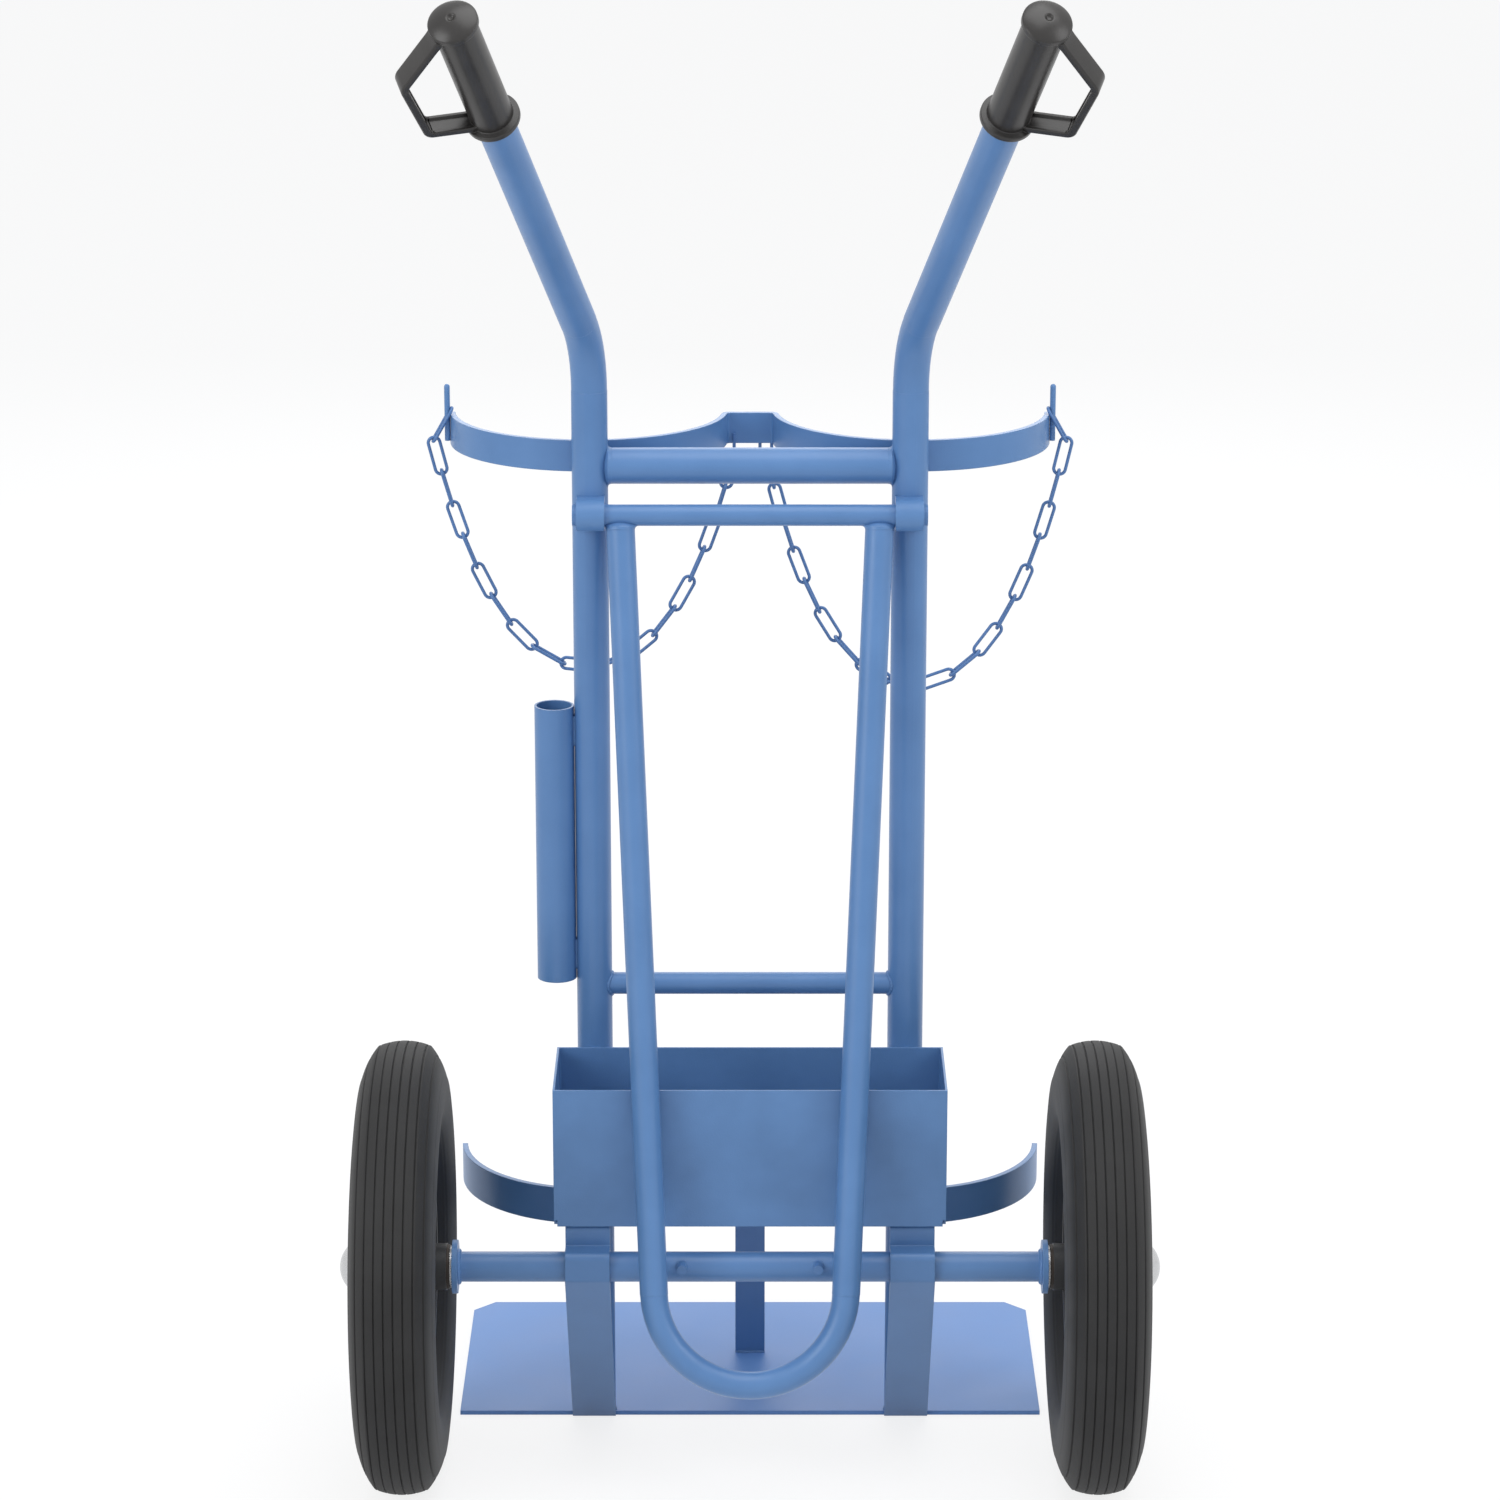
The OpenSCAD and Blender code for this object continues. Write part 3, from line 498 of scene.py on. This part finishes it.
finish_on(frame_blue, "upper_cradle", "lower_cradle", "centre_strut")
bands = ((0.897, 0.028), (0.184, 0.034))
band_bead, band_bead_inset, band_bead_back = 0.0017, 0.002, 0.0016
cradle_centre = np.array([0.146, 0.013012])
touch = np.array([post_x, post_y]) - cradle_centre
touch = cradle_centre + touch / np.linalg.norm(touch) * 0.12605
sideways = np.array([0.0072, -0.0003])
cradle_welds = []
for side in (-1, 1):
    for low, band_height in bands:
        for way in (-1, 1):
            x, y = touch + way * sideways
            y -= band_bead_back
            cradle_welds.append(straight_bead(
                (side * x, y, low + band_bead_inset),
                (side * x, y, low + band_height - band_bead_inset), band_bead))
strut_half, strut_back, strut_thick, strut_top = 0.014, 0.0066, 0.005, 0.218
strut_foot_bead, strut_top_bead = 0.002, 0.0016
strut_welds = [straight_bead((-strut_half, strut_back, plate_top),
                             (strut_half, strut_back, plate_top), strut_foot_bead),
               straight_bead((-strut_half, strut_back + strut_thick, plate_top),
                             (strut_half, strut_back + strut_thick, plate_top),
                             strut_foot_bead),
               straight_bead((-strut_half, strut_back, strut_top),
                             (strut_half, strut_back, strut_top), strut_top_bead)]
piece_from("cradle_welds", cradle_welds, weld_blue, "frame")
piece_from("strut_welds", strut_welds, weld_blue, "frame")

# Tool box
# An open box of 2 mm sheet, its corners folded up and seam-welded inside, set on the
# brackets behind the posts. Its corners are relieved at the bottom by the folding.

# Painted shade: the sheet wears the frame's one blue, set darker at its dark end for the
# dark surroundings that the sheet reflects.
box_blue_shaded = painted_steel("blue_coat_on_sheet_shaded", (0.084, 0.188, 0.39), (0.112, 0.242, 0.49),
                         (0.19, 0.35, 0.62), rough=(0.34, 0.48), cell=0.0013, edge=0.0009)
finish_on(box_blue_shaded, "tool_box")
box_half, box_near, box_far = 0.173, -0.2571, -0.1471
box_floor, box_rim, seam_bead = 0.242, 0.369, 0.0013
corner_seams = [straight_bead((side * box_half, y, box_floor + 0.004),
                              (side * box_half, y, box_rim - 0.006), seam_bead)
                for side in (-1, 1) for y in (box_near, box_far)]
piece_from("tool_box_seams", corner_seams, weld_blue, "frame")

# Axle tube, its flanges, brackets and guide pins
# A thick tube across the trolley carries the axle. Flat strap brackets wrap over it and
# run down to the plate; two short pins on its rear keep the folded stand in place.

finish_on(frame_blue, "axle_tube", "axle_flange_left", "axle_flange_right",
          "axle_bracket_left", "axle_bracket_right", "guide_pins")
axle_y, axle_height, axle_radius = -0.260, 0.202, 0.0135
flange_x, flange_bead = 0.2606, 0.0022
flange_welds = [ring_bead((side * flange_x, axle_y, axle_height), axle_radius + 0.0003,
                          flange_bead, along="x") for side in (-1, 1)]
pin_x, pin_rise, pin_ring, pin_weld = 0.061, 0.005, 0.0046, 0.0009


def pin_bead(side):
    """Where a pin stands on the tube: a ring of the pin's radius, pushed back at each
    height by the root of tube radius squared less that height squared."""
    turn = np.linspace(0, 2 * np.pi, 60, endpoint=False)
    rise = pin_rise + pin_ring * np.sin(turn)
    path = np.stack([side * pin_x + pin_ring * np.cos(turn),
                     axle_y - np.sqrt(axle_radius ** 2 - rise ** 2),
                     axle_height + rise], axis=-1)
    return bead(path, pin_weld, True, side=(0.0, 1.0, 0.0))


pin_welds = [pin_bead(side) for side in (-1, 1)]
strap_valleys = ((-0.25356, 0.21555), (-0.26507, 0.18788))
strap_near, strap_far, strap_bead = 0.127, 0.163, 0.0015
bracket_welds = [straight_bead((side * strap_near, y, z), (side * strap_far, y, z),
                               strap_bead)
                 for side in (-1, 1) for y, z in strap_valleys]
piece_from("axle_flange_welds", flange_welds, weld_blue, "frame")
piece_from("guide_pin_welds", pin_welds, weld_blue, "frame")
piece_from("bracket_welds", bracket_welds, weld_blue, "frame")

# Rod tube
# A thin-walled tube closed at the bottom, tacked along the left post to hold welding
# rods, with a short bead at its top and bottom in the valley between the two.

finish_on(frame_blue, "rod_tube")
valley_x = -(post_x + post_radius)
tack_heights, tack_length, tack_bead, tack_offset = (0.440, 0.650), 0.028, 0.0017, 0.0035
rod_tube_welds = [straight_bead((valley_x, post_y + way * tack_offset, low),
                                (valley_x, post_y + way * tack_offset, low + tack_length),
                                tack_bead)
                  for way in (-1, 1) for low in tack_heights]
piece_from("rod_tube_welds", rod_tube_welds, weld_blue, "frame")

# Chain pegs, eyes and chains
# A peg stands behind each end of the upper cradle and an eye hangs under its bridge. A
# long-link chain goes from one to the other, coated in the same blue as the frame.

chain_blue = painted_steel("blue_coat_on_chain", (0.07, 0.16, 0.36), (0.09, 0.2, 0.44),
                           (0.15, 0.28, 0.52), rough=(0.34, 0.5), cell=0.0008,
                           depth=0.00008, edge=0.0005)
finish_on(frame_blue, "chain_peg_left", "chain_peg_right")
finish_on(chain_blue, "chain_eye_left", "chain_eye_right", "end_link_left",
          "end_link_right", "chain_left", "chain_right")

# Pivot straps, pivot bar and prop stand
# A strap bent round the pivot bar is welded to each post. The stand is one tube bent to
# a long U, its two ends welded to the bar, and it leans back on its own weight.

finish_on(frame_blue, "pivot_strap_left", "pivot_strap_right", "stand_pivot_bar",
          "stand_frame")
pivot_y, pivot_height, pivot_radius = -0.155, 0.8675, 0.0095
stand_radius, stand_top_x, stand_lean = 0.0126, 0.1136, radians(13.4)


def leg_top_weld(side):
    """The weld round a leg's square top, which butts against the bar from below: the
    fillet's own axes are turned so that its first runs up the leg and its third along
    the bar, and then the whole leans back with the stand."""
    grid = fillet_round_end(stand_radius, butt_leg, butt_gap, pivot_radius, 0.55)
    up, back, along = grid[..., 0] - pivot_radius - butt_gap, grid[..., 1], grid[..., 2]
    y = back * np.cos(stand_lean) + up * np.sin(stand_lean)
    z = -back * np.sin(stand_lean) + up * np.cos(stand_lean)
    return skin_over(np.stack([side * stand_top_x + along, pivot_y + y, pivot_height + z],
                              axis=-1), True)


piece_from("stand_welds", [leg_top_weld(-1), leg_top_weld(1)], weld_blue,
           "stand")

# Grips
# Moulded black grips with a knuckle guard, pushed on the tube ends. Each has a collar
# at the bottom, a domed cap with a small moulding dimple, and a flat channelled guard.


def moulded_plastic(name, dark, light, rough, cell, depth):
    """Moulded surface: fine spark-eroded grain, faint clouds of sheen, and a painted
    highlight along sharp edges.
    """
    finish, tree, plastic = new_finish(name)
    skin = effect(tree, mottle, Cell=cell, Cloud=0.03)
    rim = effect(tree, broken_edge, Radius=0.0008, Gain=3.0)
    shade = blend_colour(tree, between(tree, skin.outputs["Clouds"], -0.5, 1.5),
                         dark, light)
    # Painted highlight: sharp edges lighten towards a brighter tone of the same plastic.
    edge_highlight_tone = tuple(min(value * 1.9, 1.0) for value in light)
    painted_edge_highlight = between(tree, rim.outputs["Edge_Highlight"], 0.0, 0.5)
    join(tree, blend_colour(tree, painted_edge_highlight, shade, edge_highlight_tone), plastic.inputs["Base Color"])
    join(tree, between(tree, skin.outputs["Clouds"], *rough), plastic.inputs["Roughness"])
    join(tree, raised(tree, skin.outputs["Skin"], depth, rim.outputs["Normal"]),
         plastic.inputs["Normal"])
    return finish


grip_plastic = moulded_plastic("moulded_grip", (0.015, 0.0135, 0.013),
                               (0.025, 0.023, 0.022), (0.27, 0.38), 0.0006, 0.00004)
bend_height, tilt, splay, roll = 1.013, radians(47.4), radians(-75.0), radians(60.0)
grip_foot, grip_length, grip_radius, collar_radius = 0.352, 0.142, 0.018, 0.023
cap_radius, tube_hole, hole_depth, collar_height = 0.0205, 0.01602, 0.13098, 0.005
dome_rise, dimple_depth, dimple_radius = 0.006, 0.0021, 0.0029
guard_out, guard_half_width, guard_half_thick = 0.057, 0.0095, 0.0031
guard_root, guard_draw_in, channel_depth = 0.0155, 0.004, 0.0022
guard_high, guard_low = 0.627, 0.165


def turned(axis_and_radius, steps):
    """Carries a profile of (height, radius) pairs round the Z axis."""
    height, radius = axis_and_radius[:, 0], axis_and_radius[:, 1]
    turn = np.linspace(0, 2 * np.pi, steps, endpoint=False)
    return np.stack([radius[:, None] * np.cos(turn), radius[:, None] * np.sin(turn),
                     np.broadcast_to(height[:, None], (len(height), steps))], axis=-1)


def soft_corner(before, corner, after, radius, steps=8):
    """Arc that rounds a corner: from the corner, back along each side by r tan(half the
    turn), swept about the point at distance r from both sides."""
    before, corner, after = (np.array(p, float) for p in (before, corner, after))
    back = (before - corner) / np.linalg.norm(before - corner)
    on = (after - corner) / np.linalg.norm(after - corner)
    half = np.arccos(np.clip(back @ on, -1, 1)) / 2
    centre = corner + (back + on) / np.linalg.norm(back + on) * radius / np.sin(half)
    start = corner + back * radius / np.tan(half) - centre
    end = corner + on * radius / np.tan(half) - centre
    share = np.linspace(0, 1, steps)[:, None]
    spread = np.arccos(np.clip(start @ end / radius ** 2, -1, 1))
    arc = (np.sin((1 - share) * spread) * start
           + np.sin(share * spread) * end) / np.sin(spread)
    return centre + arc


def rounded_line(corners, radii):
    """A line through its corners, each one rounded by its own radius."""
    parts = [np.array(corners[:1], float)]
    for place in range(1, len(corners) - 1):
        parts.append(soft_corner(corners[place - 1], corners[place], corners[place + 1],
                                 radii[place - 1]))
    parts.append(np.array(corners[-1:], float))
    return np.concatenate(parts)


def evenly(line, step):
    """The same line with a point at every step of its length."""
    run = np.concatenate([[0], np.cumsum(np.linalg.norm(np.diff(line, axis=0), axis=1))])
    want = np.unique(np.concatenate([run, np.arange(0, run[-1], step)]))
    return np.stack([np.interp(want, run, line[:, k]) for k in range(line.shape[1])],
                    axis=-1)


def grip_body():
    """Half section of the sleeve, its collars, domed cap, dimple and blind hole."""
    dome_radius = (cap_radius ** 2 + dome_rise ** 2) / (2 * dome_rise)
    reach = np.concatenate([np.linspace(0.0002, 0.005, 14),
                            np.linspace(0.0062, cap_radius - 0.0012, 16)])
    dome = grip_length - dome_radius + np.sqrt(dome_radius ** 2 - reach ** 2)
    dome = dome - dimple_depth * np.exp(-(reach / dimple_radius) ** 4)
    cap = np.stack([dome, reach], axis=-1)
    cap_edge = grip_length - dome_rise
    side = rounded_line([(cap[-1, 0], cap[-1, 1]), (cap_edge - 0.0002, cap_radius),
                         (cap_edge - collar_height, cap_radius),
                         (cap_edge - collar_height - 0.0012, grip_radius),
                         (collar_height + 0.0012, grip_radius),
                         (collar_height, collar_radius), (0.0, collar_radius),
                         (0.0, tube_hole), (hole_depth, tube_hole), (hole_depth, 0.0002)],
                        [0.0008, 0.0011, 0.0009, 0.0009, 0.0011, 0.0011, 0.0005, 0.0004])
    side = evenly(side, 0.004)
    return skin_over(turned(np.concatenate([cap, side[1:]]), 72), False)


def grip_guard():
    """The guard's flat section, hollowed on its inner face, carried round its path."""
    path = rounded_line([(guard_root, 0.1269), (guard_out, grip_length * guard_high),
                         (guard_out - guard_draw_in, grip_length * guard_low),
                         (guard_root, 0.0070)],
                        [0.010, 0.008])
    path = evenly(path, 0.002)
    ahead = np.gradient(path, axis=0)
    ahead /= np.linalg.norm(ahead, axis=1, keepdims=True)
    out = np.stack([ahead[:, 1], -ahead[:, 0]], axis=-1)
    out *= np.sign((out * (path - np.array([0.02, 0.07]))).sum(1))[:, None]
    w, t = guard_half_width, guard_half_thick
    section = rounded_line([(0, t), (w, t), (w, -t), (w - 0.003, -t),
                            (w - 0.0042, -t + channel_depth), (0, -t + channel_depth)],
                           [0.0016, 0.001, 0.0006, 0.0008])
    section = np.concatenate([section, section[-2:0:-1] * [-1, 1]])
    ends = np.minimum(path[:, 0] - path[:, 0].min(), 0.008) / 0.008
    flare = 1 + 0.35 * (1 - ends) ** 2
    wide = section[None, :, 0] * np.ones_like(flare)[:, None]
    thick = section[None, :, 1] * flare[:, None]
    points = np.stack([path[:, None, 0] + out[:, None, 0] * thick, wide,
                       path[:, None, 1] + out[:, None, 1] * thick], axis=-1)
    return skin_over(points, False)


def on_handle(spots, side):
    """From the grip's own frame to the trolley: roll about the tube, tilt it back, turn
    it out by the splay, and move it to the post's bend; the left one is mirrored."""
    x, y, z = spots[:, 0], spots[:, 1], spots[:, 2] + grip_foot
    x, y = x * np.cos(roll) - y * np.sin(roll), x * np.sin(roll) + y * np.cos(roll)
    x, z = x * np.cos(tilt) + z * np.sin(tilt), -x * np.sin(tilt) + z * np.cos(tilt)
    x, y = x * np.cos(splay) - y * np.sin(splay), x * np.sin(splay) + y * np.cos(splay)
    return np.stack([side * (x + post_x), y + post_y, z + bend_height], axis=-1)


for side, name in ((-1, "left"), (1, "right")):
    forms = [(on_handle(spots, side), faces)
             for spots, faces in (grip_body(), grip_guard())]
    grip = piece_from("moulded_grip_" + name, forms, grip_plastic, "frame")
    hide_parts("grip_" + name)

# Wheels: hub bushes, rims and valves
# A pressed rim with five round holes, stove-painted black, turns on two plastic bushes.
# The tyre has an inner tube, whose valve stands through the rim.

rim_black = painted_steel("black_rim_paint", (0.02, 0.021, 0.023), (0.03, 0.031, 0.034),
                          (0.1, 0.1, 0.105), rough=(0.3, 0.46), cell=0.0012)
bush_brown = moulded_plastic("brown_bush", (0.034, 0.024, 0.018), (0.052, 0.037, 0.028),
                             (0.38, 0.5), 0.0007, 0.00004)
valve_black = moulded_plastic("valve_rubber", (0.02, 0.02, 0.021), (0.032, 0.032, 0.033),
                              (0.45, 0.6), 0.0005, 0.00003)
tube_black = moulded_plastic("inner_tube_rubber", (0.018, 0.018, 0.019),
                             (0.03, 0.03, 0.031), (0.5, 0.65), 0.0009, 0.00005)
finish_on(rim_black, "rim_left", "rim_right")
finish_on(bush_brown, "hub_bushes_left", "hub_bushes_right")
finish_on(valve_black, "valve_left", "valve_right")
finish_on(tube_black, "inner_tube_left", "inner_tube_right")

# Tyres
# Moulded rubber, 404 mm across, with eight grooves round the tread and fine rings on
# the side walls. The rubber is charcoal, dark on the tread and chalkier on the walls.

wheel_x, tyre_radius, tread_half = 0.3094, 0.202, 0.031
crown_radius, side_radius, side_offset, section_middle = 0.060, 0.065, 0.02725, 0.156
groove_pitch, groove_depth, groove_half = 0.0084, 0.0014, 0.0006
ring_heights, ring_lift, ring_half = (0.1225, 0.1275, 0.170), 0.0004, 0.0009
crown_wall, side_wall = 0.012, 0.007
bead_out, bead_in, bead_root, rim_seat = 0.0196, 0.0096, 0.1105, 0.10205


def tyre_rubber():
    """Rubber: clouded charcoal, chalkier in patches and on the side walls, with fine
    moulding lines that go round the wheel. Distance from the axle is the root of y
    squared plus z squared, and a side wall is where x is far off the wheel's middle."""
    finish, tree, rubber = new_finish("tyre_rubber")
    skin = effect(tree, mottle, Cell=0.0009, Cloud=0.045)
    spot = tree.nodes.new("ShaderNodeTexCoord")
    part = tree.nodes.new("ShaderNodeSeparateXYZ")
    join(tree, spot.outputs["Object"], part.inputs[0])
    y = sum_of(tree, "SUBTRACT", part.outputs["Y"], axle_y)
    z = sum_of(tree, "SUBTRACT", part.outputs["Z"], axle_height)
    far = sum_of(tree, "SQRT", sum_of(tree, "ADD", sum_of(tree, "MULTIPLY", y, y),
                                      sum_of(tree, "MULTIPLY", z, z)), 0.0)
    line_radians_a_metre = 5200.0
    rings = sum_of(tree, "SINE", sum_of(tree, "MULTIPLY", far, line_radians_a_metre), 0.0)
    grain = sum_of(tree, "ADD", sum_of(tree, "MULTIPLY", rings, 0.12), skin.outputs["Skin"])
    chalk = between(tree, skin.outputs["Clouds"], -0.7, 1.5)
    across = sum_of(tree, "ABSOLUTE", part.outputs["X"], 0.0)
    off_middle = sum_of(tree, "ABSOLUTE", sum_of(tree, "SUBTRACT", across, wheel_x), 0.0)
    on_wall = sum_of(tree, "MULTIPLY", sum_of(tree, "SUBTRACT", off_middle, tread_half),
                     250.0)
    tread = blend_colour(tree, chalk, (0.016, 0.016, 0.0165), (0.026, 0.026, 0.0265))
    wall = blend_colour(tree, chalk, (0.044, 0.044, 0.0445), (0.07, 0.07, 0.0705))
    join(tree, blend_colour(tree, on_wall, tread, wall), rubber.inputs["Base Color"])
    join(tree, between(tree, skin.outputs["Clouds"], 0.62, 0.78),
         rubber.inputs["Roughness"])
    join(tree, raised(tree, grain, 0.00012), rubber.inputs["Normal"])
    rubber.inputs["Specular IOR Level"].default_value = 0.35
    return finish


def reach_to(turn, centre_x, centre_r, radius):
    """How far a ray from the section's middle runs at an angle from the tread's middle
    before it meets a circle: minus b plus the root of b squared less c."""
    dx, dr = np.sin(turn), np.cos(turn)
    b = -dx * centre_x + dr * (section_middle - centre_r)
    c = centre_x ** 2 + (section_middle - centre_r) ** 2 - radius ** 2
    return -b + np.sqrt(np.maximum(b * b - c, 0))


def tyre_wall(turn, off_crown, off_side):
    """Section by angle: the nearest of the crown's circle and the two side circles."""
    crown = reach_to(turn, 0.0, tyre_radius - crown_radius, crown_radius - off_crown)
    left = reach_to(turn, -side_offset, section_middle, side_radius - off_side)
    right = reach_to(turn, side_offset, section_middle, side_radius - off_side)
    return np.minimum(np.minimum(crown, left), right)


def tyre_section():
    """Outer contour with grooves and side rings, then beads, then the inner contour.
    Points are (reach sin a, section middle + reach cos a); a groove takes its depth
    times e to the minus (distance / half width) to the fourth off the reach."""
    wall_turn = np.linspace(151.9, 56.0, 46, endpoint=False)
    turn = np.radians(np.concatenate([wall_turn, np.linspace(56, -56, 361),
                                      -wall_turn[::-1]]))
    reach = tyre_wall(turn, 0.0, 0.0)
    x = reach * np.sin(turn)
    height = section_middle + reach * np.cos(turn)
    on_tread = height > section_middle
    for place in np.arange(-3.5, 4.0) * groove_pitch:
        reach = reach - groove_depth * np.exp(-((x - place) / groove_half) ** 4) * on_tread
    for ring in ring_heights:
        lift = ring_lift * np.exp(-((height - ring) / ring_half) ** 2)
        reach = reach + np.where(np.abs(x) > 0.025, lift, 0.0)
    outer = np.stack([reach * np.sin(turn), section_middle + reach * np.cos(turn)], axis=-1)
    inner_turn = np.linspace(radians(-166.0), radians(166.0), 60)
    inner_reach = tyre_wall(inner_turn, crown_wall, side_wall)
    inner = np.stack([inner_reach * np.sin(inner_turn),
                      section_middle + inner_reach * np.cos(inner_turn)], axis=-1)
    left = rounded_line([outer[-1], (-bead_out, bead_root), (-bead_out, rim_seat),
                         (-bead_in, rim_seat), (-bead_in, bead_root), inner[0]],
                        [0.0015, 0.0015, 0.0015, 0.001])
    right = left[::-1] * [-1, 1]
    return np.concatenate([outer, left[1:-1], inner, right[1:-1]])


def tyre_form(side):
    """The section, closed on itself, carried round the axle."""
    section = tyre_section()
    turn = np.linspace(0, 2 * np.pi, 144, endpoint=False)
    x = np.broadcast_to(section[None, :, 0], (len(turn), len(section)))
    points = np.stack([side * wheel_x + x,
                       axle_y + section[None, :, 1] * np.cos(turn)[:, None],
                       axle_height + section[None, :, 1] * np.sin(turn)[:, None]], axis=-1)
    return skin_over(points, True)


rubber = tyre_rubber()
for side, name in ((-1, "left"), (1, "right")):
    tyre = piece_from("ribbed_tyre_" + name, [tyre_form(side)], rubber,
                      "wheel_" + name)
    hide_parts("tyre_" + name)

# Axle rod, washers and caps
# A bright drawn steel rod runs through the tube and both wheels. Zinc-plated washers
# lie against each hub, and a domed push-on cap closes each end.


def bare_metal(name, dark, light, rough, cell, depth):
    """Plated or drawn steel: clouded shine with fine marks."""
    finish, tree, metal = new_finish(name)
    skin = effect(tree, mottle, Cell=cell, Cloud=0.012)
    rim = effect(tree, broken_edge, Radius=0.0006, Gain=3.0)
    join(tree, blend_colour(tree, skin.outputs["Clouds"], dark, light),
         metal.inputs["Base Color"])
    join(tree, between(tree, skin.outputs["Skin"], *rough), metal.inputs["Roughness"])
    join(tree, raised(tree, skin.outputs["Skin"], depth, rim.outputs["Normal"]),
         metal.inputs["Normal"])
    metal.inputs["Metallic"].default_value = 1.0
    return finish


zinc = bare_metal("zinc_plate", (0.5, 0.51, 0.52), (0.62, 0.62, 0.63), (0.2, 0.34), 0.0015,
                  0.00003)
bright_steel = bare_metal("drawn_steel", (0.42, 0.42, 0.43), (0.55, 0.55, 0.56),
                          (0.25, 0.4), 0.0007, 0.00003)
finish_on(zinc, "axle_washers", "axle_cap_left", "axle_cap_right")
finish_on(bright_steel, "axle_rod")

low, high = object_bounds()
